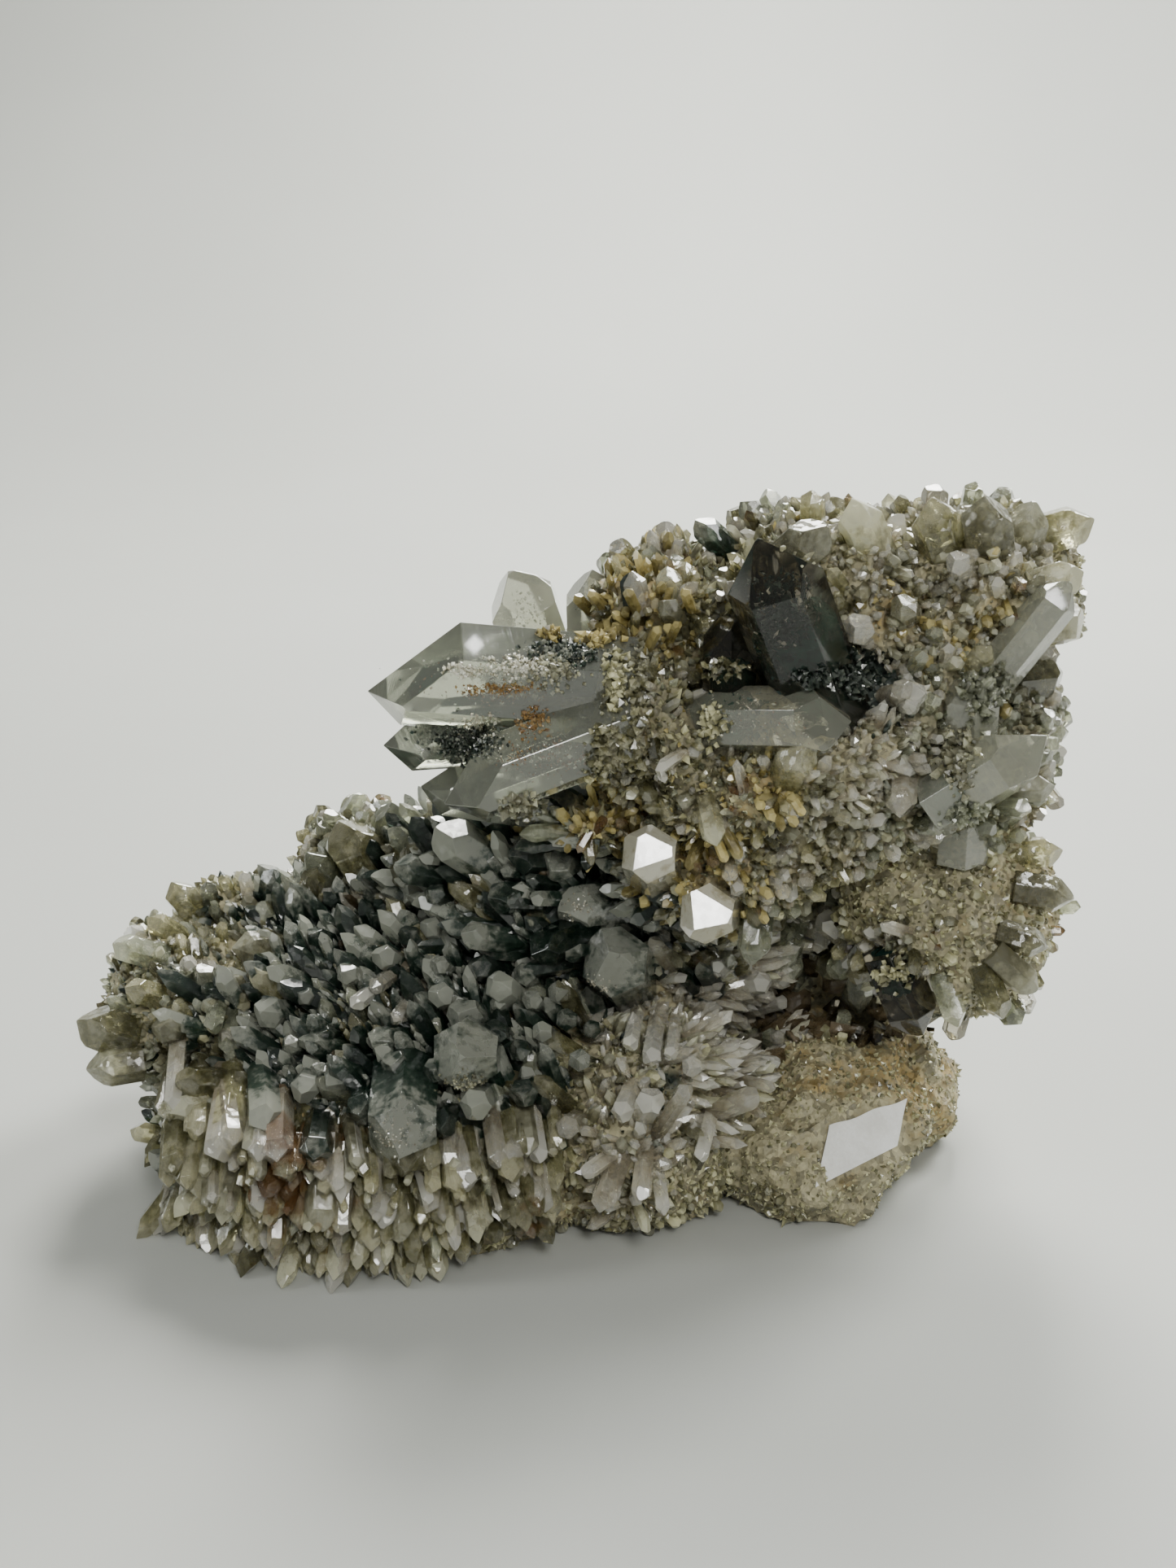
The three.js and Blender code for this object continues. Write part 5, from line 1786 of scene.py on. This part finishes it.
# %% Scattering over the rock
SCATTERED = 220000
ROOT_SINK = 0.3
LOWEST_ROOT, LABEL_CLEARANCE = 0.7, 3
MOST_CELLS = 8192


def scatter_over(mesh, count, random):
    """Random places on the mesh by area, with the normals there."""
    mesh.calc_loop_triangles()
    corners = np.empty(len(mesh.loop_triangles) * 3, np.int32)
    mesh.loop_triangles.foreach_get("vertices", corners)
    tri = mesh_points(mesh)[corners.reshape(-1, 3)]
    cross = np.cross(tri[:, 1] - tri[:, 0], tri[:, 2] - tri[:, 0])
    area = np.linalg.norm(cross, axis=1)
    pick = random.choice(len(tri), count, p=area / area.sum())
    a, b = random.random((2, count, 1))
    flip = (a + b) > 1
    a, b = np.where(flip, 1 - a, a), np.where(flip, 1 - b, b)
    picked = tri[pick]
    at = picked[:, 0] + a * (picked[:, 1] - picked[:, 0]) + b * (picked[:, 2] - picked[:, 0])
    return at, cross[pick] / area[pick, None], area.sum() / 2


def crust_growth(points, random):
    """The number of the growth at each point, with the borders broken up by chance."""
    distances = region_distances(points)
    plain = regions[distances.argmin(axis=1), 4].astype(int)
    distances *= 1 + SOFT_BORDER * random.standard_normal(distances.shape)
    mixed_up = regions[distances.argmin(axis=1), 4].astype(int)
    return np.where(plain == GROWTH_NAMES.index("foot"), plain, mixed_up)


def in_large_point(points):
    inside = np.zeros(len(points), bool)
    for members in ends.values():
        for tip, root, width in members:
            axis = np.array(tip - root)
            length = np.linalg.norm(axis)
            run, off = along_and_off(points, root, axis / length)
            inside |= (off < 0.5 * width) & (run > 0) & (run < length)
    return inside


def on_label(points):
    local = transformed(points, to_label)
    return over_label(local) & (abs(local[:, 2]) < LABEL_CLEARANCE)


def one_per_cell(points, spacing):
    """Indices of one point in each cell of space."""
    cells = np.floor(points / spacing).astype(np.int64) + MOST_CELLS // 2
    keys = (cells[:, 0] * MOST_CELLS + cells[:, 1]) * MOST_CELLS + cells[:, 2]
    return np.unique(keys, return_index=True)[1]


scatter_random = np.random.default_rng(SEEDS["scatter"])
spots, spot_normals, rock_area = scatter_over(rock.data, SCATTERED, scatter_random)
free = ~in_large_point(spots) & ~on_label(spots) & (spots[:, 2] > LOWEST_ROOT)
spots, spot_normals = spots[free], spot_normals[free]
spot_growths = crust_growth(spots, scatter_random)
print("rock surface:", round(rock_area / 100), "square cm; free spots:", len(spots))

# %% Growing the crust
FAN_MIDDLE, FAN_PULL = place(79, 128, -8), 0.9
DRIFT_SIZE, DRIFT, LEAN_SPREAD = 7, 0.5, 1.6
SMALL_SHARE = 1.7
FLATTENED, SUNK_SHARE = (0.75, 1.1), 0.12
CROWDED = 0.32
ROOM, LEAST_ROOM = 7, 0.35
CRUST_RUST = 0.6
main_roots = []


def unit(vectors):
    return vectors / np.linalg.norm(vectors, axis=1, keepdims=True)


def crust_axes(at, normals, growth, random):
    """The way each crystal points: the normal, turned as its neighbours are, and a lean."""
    lean = math.tan(math.radians(GROWTHS[growth][0]))
    drift = np.array([noise.noise_vector(Vector(point) / DRIFT_SIZE) for point in at])
    aim = normals + DRIFT * drift + np.array(GROWTHS[growth][1])
    if growth == "fan":
        aim = aim + FAN_PULL * unit(at - FAN_MIDDLE)
    aim = unit(aim)
    return unit(aim + lean * random.standard_normal(at.shape) / LEAN_SPREAD)


def crust_matrices(at, axes, widths, lengths, random):
    side = unit(np.cross(axes, random.standard_normal(axes.shape)))
    across = np.cross(axes, side)
    matrices = np.zeros((len(at), 4, 4))
    matrices[:, :3, 0] = side * widths[:, None]
    matrices[:, :3, 1] = across * widths[:, None] * random.uniform(*FLATTENED, (len(at), 1))
    matrices[:, :3, 2] = axes * lengths[:, None]
    matrices[:, :3, 3] = at - axes * (ROOT_SINK + SUNK_SHARE * lengths[:, None])
    matrices[:, 3, 3] = 1
    return matrices


def not_crowded(points):
    """True for points that aren't covered by a crystal of the layer before."""
    if not main_roots:
        return np.ones(len(points), bool)
    roots = np.concatenate([rows[0] for rows in main_roots])
    widths = np.concatenate([rows[1] for rows in main_roots])
    tree = KDTree(len(roots))
    for i, root in enumerate(roots):
        tree.insert(root, i)
    tree.balance()
    found = [tree.find(point) for point in points]
    return np.array([distance > CROWDED * widths[i] for _, i, distance in found])


def room_at(points):
    """How large crystals may be at each point: less close to the right and left ends of the box."""
    room = np.minimum(BOX_HIGH[0] - points[:, 0], points[:, 0] - BOX_LOW[0])
    return np.clip(LEAST_ROOM + (1 - LEAST_ROOM) * room / ROOM, LEAST_ROOM, 1)


def grow_layer(growth, at, shape, width_limits, slimness, mix, random):
    points = spots[at]
    axes = crust_axes(points, spot_normals[at], growth, random)
    widths = within(width_limits, random.random(len(at)) ** SMALL_SHARE) * room_at(points)
    lengths = widths * random.uniform(*slimness, len(at)) + ROOT_SINK
    matrices = crust_matrices(points, axes, widths, lengths, random)
    stains = ground_at(points)[:, 1] * CRUST_RUST
    finish_draw, tints = random.random((2, len(at)))
    kinds = random.integers(0, len(prototypes[shape]), len(at))
    low = 0.0
    for finish, share in mix.items():
        chosen = (finish_draw >= low) & (finish_draw < low + share)
        low += share
        for kind, made in enumerate(prototypes[shape]):
            these = chosen & (kinds == kind)
            if these.any():
                grow(finish, made, matrices[these], tints[these], stains[these])
    return points, widths


def grow_crust():
    random = np.random.default_rng(SEEDS["crust"])
    count = 0
    for number, growth in enumerate(GROWTH_NAMES):
        main_roots.clear()
        own = np.flatnonzero(spot_growths == number)
        for shape, spacing, widths, slimness, mix in GROWTHS[growth][2]:
            at = own[one_per_cell(spots[own], spacing)]
            at = at[not_crowded(spots[at])]
            main_roots.append(grow_layer(growth, at, shape, widths, slimness, mix, random))
            count += len(at)
    return count


print("crystals of the crust:", grow_crust())
for name, parts in GROWN.items():
    print(name, sum(triangles_in(part) for part in parts), "triangles")

# %% The rock becomes a piece
finish_piece("matrix_rock", rock.data, "crusted_rock",
             ["crystal_covered_rock"])
print("matrix_rock", triangles(rock.data), "triangles")

# %% [markdown]
# ## Grains on the large crystals
# The large crystals aren't clean. Small grains and splinters stick to them, thickest where they come
# out of the crust, and bands of white and rusty grains cross the left ones. One short band of white
# grains is a painted highlight, laid where a facet flashes. Each band is given as it is seen. A sight
# line is traced for each grain, and the grain stands on the facet that it meets.

# %% Tracing a sight line
def facet_finder():
    """Two functions: where a sight line ends, with its mirrored direction and the normal there, and
    whether nothing stands in the way of a line that leaves a facet."""
    trees = []
    for piece in made_pieces:
        bm = bmesh.new()
        bm.from_mesh(piece.data)
        trees.append(BVHTree.FromBMesh(bm))
        bm.free()
    eye = camera.location

    def find(u, v):
        along = Vector(sight_ray(u, v)).normalized()
        hits = [tree.ray_cast(eye, along) for tree in trees]
        hits = [hit for hit in hits if hit[0]]
        at, normal, *_ = min(hits, key=lambda hit: (hit[0] - eye).length)
        return at, along.reflect(normal), normal

    def is_free(at, onward):
        return not any(tree.ray_cast(at + onward * MM, onward)[0] for tree in trees)

    return find, is_free


# %% Grains along the bands
GRAIN_BANDS = [
    # seen middle, half-sizes, grains, widths, finish, stain
    ((68, 82), (3.6, 2.4), 200, (0.25, 0.8), SUGAR, 0.0),
    ((64, 82), (4.4, 1.4), 330, (0.12, 0.5), WHITE, 0.0),
    ((61.5, 84.6), (4.6, 0.7), 230, (0.12, 0.42), OCHRE, 1.0),
    # white grains laid where a facet flashes: a painted highlight
    ((57, 82.4), (2.2, 0.7), 120, (0.15, 0.55), WHITE, 0.0),
    ((69.4, 80.2), (3.4, 1.5), 420, (0.2, 0.7), FROSTED, 0.0),
    ((57.2, 91.4), (3.6, 1.7), 420, (0.15, 0.55), BLACK, 0.0),
    ((57.6, 91.2), (3.8, 2.2), 200, (0.15, 0.6), FROSTED, 0.0),
    ((60, 90.6), (3.8, 2), 80, (0.1, 0.3), WHITE, 0.0),
    ((67.5, 78), (1.6, 0.9), 40, (0.5, 1.2), OCHRE, 0.0),
    ((65.5, 88.8), (2.0, 1.8), 190, (0.15, 0.5), OCHRE, 1.0),
    ((63.5, 92.6), (1.6, 1.4), 40, (0.12, 0.3), OCHRE, 0.9),
    ((59, 88.6), (3, 1.2), 90, (0.15, 0.45), CLEAR, 0.0),
    ((64, 99), (2.4, 1.4), 110, (0.4, 1.1), SUGAR, 0.0),
    ((74.6, 93), (1.8, 4.2), 260, (0.4, 1.2), OLIVE, 0.1),
    ((75.6, 84), (1.4, 3.6), 160, (0.4, 1.1), KHAKI, 0.2),
    ((78.4, 89), (1.0, 5), 260, (0.4, 1.3), OLIVE, 0.2),
    ((79, 82), (1.2, 3), 120, (0.4, 1.3), SUGAR, 0.2),
    ((73.5, 78.6), (2, 1.2), 80, (0.4, 1.2), OCHRE, 0.1),
    ((99, 67.5), (3.2, 1.6), 60, (0.3, 0.9), SUGAR, 0.0),
    ((105.4, 83.4), (2.4, 2.4), 260, (0.3, 0.9), BLACK, 0.0),
    ((100.2, 83.4), (2.4, 1.0), 200, (0.3, 0.9), BLACK, 0.0),
    ((87.6, 88.8), (1.6, 2), 130, (0.4, 1.1), KHAKI, 0.1),
    ((88.6, 82), (2, 1.2), 70, (0.3, 0.9), OLIVE, 0.2),
    ((94, 93.2), (4, 0.7), 110, (0.4, 1.1), KHAKI, 0.2),
    ((112.2, 86), (1.3, 1.1), 220, (0.4, 1.0), WHITE, 0.0),
    ((121, 84.6), (3.2, 3.4), 220, (0.4, 1.2), GREY_GREEN, 0.1),
    ((117.5, 93), (2.6, 4), 200, (0.4, 1.2), SUGAR, 0.1),
    ((119, 100), (3, 1.6), 110, (0.4, 1.1), GREY_GREEN, 0.1),
    ((109.6, 119.6), (2.6, 1.6), 90, (0.4, 1.1), KHAKI, 0.1),
    ((72.6, 121.4), (2.4, 1.8), 120, (0.1, 0.35), CLEAR, 0.0),
    ((71, 111.4), (1.8, 1.6), 70, (0.1, 0.35), CLEAR, 0.0),
    ((57.4, 133.6), (2.8, 1.6), 190, (0.15, 0.45), SUGAR, 0.1),
    ((48, 139.4), (2.6, 2.2), 90, (0.1, 0.3), CLEAR, 0.0),
]
GRAIN_SPREAD, GRAIN_LEAN, GRAIN_LENGTHS = 0.5, 0.7, (0.8, 1.7)


def grow_band(middle, spread, count, widths, finish, stain, random):
    kinds = prototypes["grain"]
    placed = [[] for _ in kinds]
    for u, v in middle + random.normal(0, GRAIN_SPREAD, (count, 2)) * spread:
        at, _, normal = find_facet(u, v)
        aim = Vector(normal) + GRAIN_LEAN * Vector(random.standard_normal(3))
        width = within(widths, random.random() ** 2)
        matrix = standing_on(Vector(), aim.normalized(), random.uniform(0, 360))
        matrix = Matrix.Translation(Vector(at) / MM + Vector(BASE_MIDDLE)) @ matrix
        length = width * random.uniform(*GRAIN_LENGTHS)
        placed[random.integers(len(kinds))].append(
            np.array(matrix @ Matrix.Diagonal((width, width, length, 1))))
    for kind, matrices in zip(kinds, placed):
        if matrices:
            grow(finish, kind, matrices, random.random(len(matrices)),
                 np.full(len(matrices), stain))


find_facet, _ = facet_finder()
band_random = np.random.default_rng(SEEDS["grains"])
for band in GRAIN_BANDS:
    grow_band(*band, band_random)
print("grains on the large crystals:", sum(band[2] for band in GRAIN_BANDS))

# %% Making the crystal pieces
MOST_TRIANGLES = 190000


def split_parts(parts):
    """The parts in bundles that each stay under the most triangles for one piece."""
    bundles, count = [[]], 0
    for part in parts:
        more = triangles_in(part)
        if count + more > MOST_TRIANGLES:
            bundles.append([])
            count = 0
        bundles[-1].append(part)
        count += more
    return bundles


for name, parts in GROWN.items():
    for number, bundle in enumerate(split_parts(parts), 1):
        piece_name = f"{name}_{number}"
        mesh = joined_mesh(piece_name, bundle)
        finish_piece(piece_name, mesh, name)
        print(piece_name, triangles(mesh), "triangles")

# %% [markdown]
# ## Flakes and healed cracks
# The big clear crystals aren't empty. White and rusty flakes float in bands along their seams, and
# old cracks that have healed show as faint white veils. The flakes are flattened grains, strewn
# around the place where a band is seen, and a veil is one thin uneven plate whose alpha breaks up.

# %% Flakes
FLAKE_BANDS = [
    # piece, member, seen middle, seen half-sizes, flakes, sizes, share of rust, share of chlorite
    ("left_point_cluster", 0, (65, 83), (7, 2), 330, (0.2, 0.8), 0.12, 0.1),
    ("left_point_cluster", 0, (61, 85.2), (5, 0.8), 160, (0.15, 0.5), 0.85, 0.0),
    ("left_point_cluster", 0, (69.5, 80.6), (4.4, 2.4), 420, (0.3, 1.0), 0.0, 0.95),
    ("left_point_cluster", 0, (50, 84.5), (5, 3), 30, (0.15, 0.4), 0.4, 0.3),
    ("left_point_cluster", 1, (58.5, 91), (5.4, 3), 700, (0.3, 1.0), 0.0, 0.9),
    ("left_point_cluster", 1, (60, 90), (5, 2.4), 90, (0.15, 0.5), 0.1, 0.0),
    ("left_point_cluster", 2, (68, 93), (5, 3), 200, (0.15, 0.6), 0.7, 0.05),
    ("back_points", 0, (64, 74.4), (3.4, 2.8), 260, (0.15, 0.6), 0.0, 0.0),
    ("back_points", 1, (73, 74), (2.4, 2.6), 90, (0.15, 0.5), 0.1, 0.4),
    ("block_points", 0, (96.4, 76.6), (3.4, 5.6), 1300, (0.3, 1.1), 0.0, 0.97),
    ("block_points", 2, (91, 88), (3, 2.4), 420, (0.3, 0.9), 0.05, 0.9),
    ("block_points", 2, (97, 89.4), (5, 2), 60, (0.15, 0.4), 0.5, 0.1),
]
FLAKE_FLATNESS, FLAKE_SPREAD, FLAKE_DEPTHS = 0.3, 0.55, (0.05, 0.4)
WIDEST_SHARE, TIP_TAPER, AXIS_SHARES = 0.44, 0.5, (0.03, 0.92)


def at_member(name, member, u, v):
    """The depth of a crystal's axis where it is seen nearest to (u, v), and the axis itself."""
    tip, root, width = ends[name][member]
    seen = np.column_stack(seen_at(np.array([tip, root])))
    run = seen[0] - seen[1]
    share = np.clip(((u, v) - seen[1]) @ run / (run @ run), *AXIS_SHARES)
    return np.array(root.lerp(tip, share))[1], np.array(root), np.array(tip), width


def grow_flakes(random):
    parts = []
    points, corners, sides = bm_arrays(small_grain(SEEDS["flake shape"]))
    points = (points - points.mean(axis=0)) * (1, 1, FLAKE_FLATNESS)
    for name, member, middle, spread, count, sizes, rusty, green in FLAKE_BANDS:
        for u, v in middle + random.normal(0, FLAKE_SPREAD, (count, 2)) * spread:
            depth, root, tip, width = at_member(name, member, u, v)
            at = place(u, v, depth - random.uniform(*FLAKE_DEPTHS) * width)
            length = np.linalg.norm(tip - root)
            (run,), (off,) = along_and_off(at[None], root, (tip - root) / length)
            reach = min(WIDEST_SHARE * width, TIP_TAPER * (length - run))
            rusty_one = random.random() < rusty
            turn = np.array(Vector(random.standard_normal(3)).to_track_quat("Z", "Y").to_matrix())
            size = within(sizes, random.random() ** 2)
            green_one = random.random() < green
            if off < reach:
                colours = np.tile((float(green_one), float(rusty_one), 0, 1), (len(points), 1))
                parts.append((size * points @ turn.T + at, corners, sides, colours))
    return parts


flakes = joined_mesh("inclusion_flakes", grow_flakes(np.random.default_rng(SEEDS["flakes"])))
finish_piece("inclusion_flakes", flakes, "inclusion_flakes")
print("flakes:", triangles(flakes), "triangles")

# %% Healed cracks
CRACKS = [
    # piece, member, seen middle, half-sizes in mm, turn of the plate about X and Y in degrees
    ("left_point_cluster", 0, (57, 83), (4, 1.6), (60, 12)),
    ("left_point_cluster", 1, (52, 90.8), (3, 1.6), (60, 15)),
    ("left_point_cluster", 2, (62, 94.6), (3.4, 1.4), (115, 25)),
    ("block_points", 2, (99, 88.4), (2.6, 1.4), (115, 5)),
]
CRACK_THICKNESS = 0.03
WAVE_RUN, WAVE_BEND, EDGE_MIDDLE, EDGE_WAVE = 1.3, 0.5, 0.85, 0.4


def crack_plate(name, member, middle, half, turn):
    bm = bmesh.new()
    bmesh.ops.create_circle(bm, cap_ends=True, segments=20, radius=1)
    bmesh.ops.poke(bm, faces=bm.faces)
    bmesh.ops.subdivide_edges(bm, edges=bm.edges, cuts=1, use_grid_fill=True)
    for vert in bm.verts:
        wave = noise.noise(vert.co * WAVE_RUN + Vector(middle + (0,)))
        vert.co = Vector((half[0] * vert.co.x, half[1] * vert.co.y, 0))
        vert.co *= EDGE_MIDDLE + EDGE_WAVE * wave
        vert.co.z = WAVE_BEND * wave
    bmesh.ops.solidify(bm, geom=bm.faces, thickness=CRACK_THICKNESS)
    bmesh.ops.recalc_face_normals(bm, faces=bm.faces)
    depth, *_ = at_member(name, member, *middle)
    turned = Matrix.Rotation(math.radians(turn[1]), 4, "Y")
    turned = turned @ Matrix.Rotation(math.radians(turn[0]), 4, "X")
    bmesh.ops.transform(bm, verts=bm.verts, matrix=Matrix.Translation(place(*middle, depth)) @ turned)
    points, corners, sides = bm_arrays(bm)
    return points, corners, sides, np.ones((len(points), 4))


cracks = joined_mesh("healed_cracks", [crack_plate(*row) for row in CRACKS])
finish_piece("healed_cracks", cracks, "healed_crack")
print("healed cracks:", triangles(cracks), "triangles")

# %% [markdown]
# ## The label
# A small blank paper label is stuck on the foot. It is a grid of faces with a slightly wavy torn top
# edge, bent a little, and given the thickness of paper by Solidify, applied at once.

# %% The paper
PAPER_THICKNESS, PAPER_LIFT = 0.12, 0.34
LABEL_SKEW, LABEL_SHIFT, LABEL_TAPER, LABEL_SHARE, TOP_WORN = 0.85, 0.2, 0.2, 0.95, 0.1
# height of each wave, and how fast it runs
TOP_EDGE, SIDE_EDGES, LONG_BEND, SHORT_BEND = (0.12, 0.9), (0.06, 1.1), (0.07, 0.8), (0.05, 1.3)
RIGHT_EDGE_SHARE, TOP_START, BEND_TURN = 0.3, 0.6, 0.5


def wave(shape, along, start=0.0):
    height, run = shape
    return height * math.sin(run * along + start)


def paper_label():
    bm = bmesh.new()
    bmesh.ops.create_grid(bm, x_segments=32, y_segments=12, size=0.5)
    for vert in bm.verts:
        x = vert.co.x * LABEL_WIDTH
        y = vert.co.y * LABEL_HEIGHT * (LABEL_SHARE - LABEL_TAPER * vert.co.x)
        y += max(0.0, vert.co.y + 0.5) * (wave(TOP_EDGE, x, TOP_START) - TOP_WORN)
        edge_share = 1 if vert.co.x < 0 else RIGHT_EDGE_SHARE
        x += wave(SIDE_EDGES, y) * edge_share + LABEL_SKEW * y - LABEL_SHIFT
        z = PAPER_LIFT + wave(LONG_BEND, x) + wave(SHORT_BEND, y, BEND_TURN * x)
        vert.co = (x, y, z)
    bmesh.ops.solidify(bm, geom=bm.faces, thickness=PAPER_THICKNESS)
    bmesh.ops.recalc_face_normals(bm, faces=bm.faces)
    mesh = mesh_from(bm, "blank_label")
    mesh.transform(label_place)
    return mesh


label = paper_label()
finish_piece("blank_label", label, "label_paper", ["paper_label"])
print("label:", triangles(label), "triangles")

# %% [markdown]
# ## Cards that make facets flash
# A facet flashes white only when it mirrors something bright, and a studio lamp seldom stands just
# there. A product photographer helps with small white cards, one for each facet that should light
# up. Here the place of a card is worked out: the sight line is traced to the facet, mirrored on it,
# and the card stands along the mirrored line. Where something is in the way of that line, the
# nearest facet with a free one is taken. A card is so small that it hardly adds to the light.

# %% Cards
FLASHES = [
    # where the flashing facet is seen, and the size of its card in mm
    (58.3, 79.2, 5), (100, 85.6, 8), (110.6, 74.6, 16), (110.4, 77.6, 16), (104.2, 75.4, 12),
    (56.4, 87.6, 8), (70.6, 143.6, 20), (78.4, 146.4, 20), (129.2, 74, 8), (92.3, 117, 20),
    (88, 65.2, 20), (82.7, 110.6, 16), (33.8, 111.6, 20), (39.8, 137, 20), (46, 143.4, 20),
    (57, 144, 20), (76.6, 86.4, 12), (95.2, 129, 16), (80, 134.8, 12),
]
CARD_DISTANCE, CARD_RADIANCE, LOWEST_CARD = 0.5, 30, 0.08
FLASH_PIECES, FLASH_CARD, FLASH_RADIANCE = ("bright_point", "amber_point"), 26, 20
SEARCH_STEPS, SEARCH_REACH, SEARCH_TURN = 40, 1.6, 2.4


def nearest_flashing(u, v):
    """The facet nearest to (u, v) whose mirrored sight line goes up freely."""
    for step in range(SEARCH_STEPS):
        reach, turn = SEARCH_REACH * step / SEARCH_STEPS, SEARCH_TURN * step
        seen = u + reach * math.cos(turn), v + reach * math.sin(turn)
        at, mirrored, _ = find_facet(*seen)
        if (at + CARD_DISTANCE * mirrored).z > LOWEST_CARD and is_free(at, mirrored):
            return at, mirrored
    return None


def flash_face(name):
    """Where the face is that was cut to mirror a card, and its mirrored sight line."""
    faces = bpy.data.objects[name + "_cut"].data.polygons
    wanted = flash_normal(ends[name][0][0])
    face = max(faces, key=lambda face: face.normal.dot(wanted) + 1000 * face.area)
    return face.center, (face.center - camera.location).normalized().reflect(face.normal)


find_facet, is_free = facet_finder()
mirrors = [(nearest_flashing(u, v), size, CARD_RADIANCE) for u, v, size in FLASHES]
mirrors += [(flash_face(name), FLASH_CARD, FLASH_RADIANCE) for name in FLASH_PIECES]
mirrors = [mirror for mirror in mirrors if mirror[0]]
for number, ((at, mirrored), size, radiance) in enumerate(mirrors, 1):
    watts = math.pi * radiance * (size * MM) ** 2
    stand = at + CARD_DISTANCE * mirrored
    add_panel(f"card_{number}", stand, at, size * MM, size * MM, watts, (1, 1, 1))
    bpy.data.objects[f"card_{number}"].visible_camera = False
    print(f"card_{number}", "stands at", [round(c, 2) for c in stand])
print("cards:", len(mirrors), "for", len(FLASHES) + len(FLASH_PIECES), "facets")
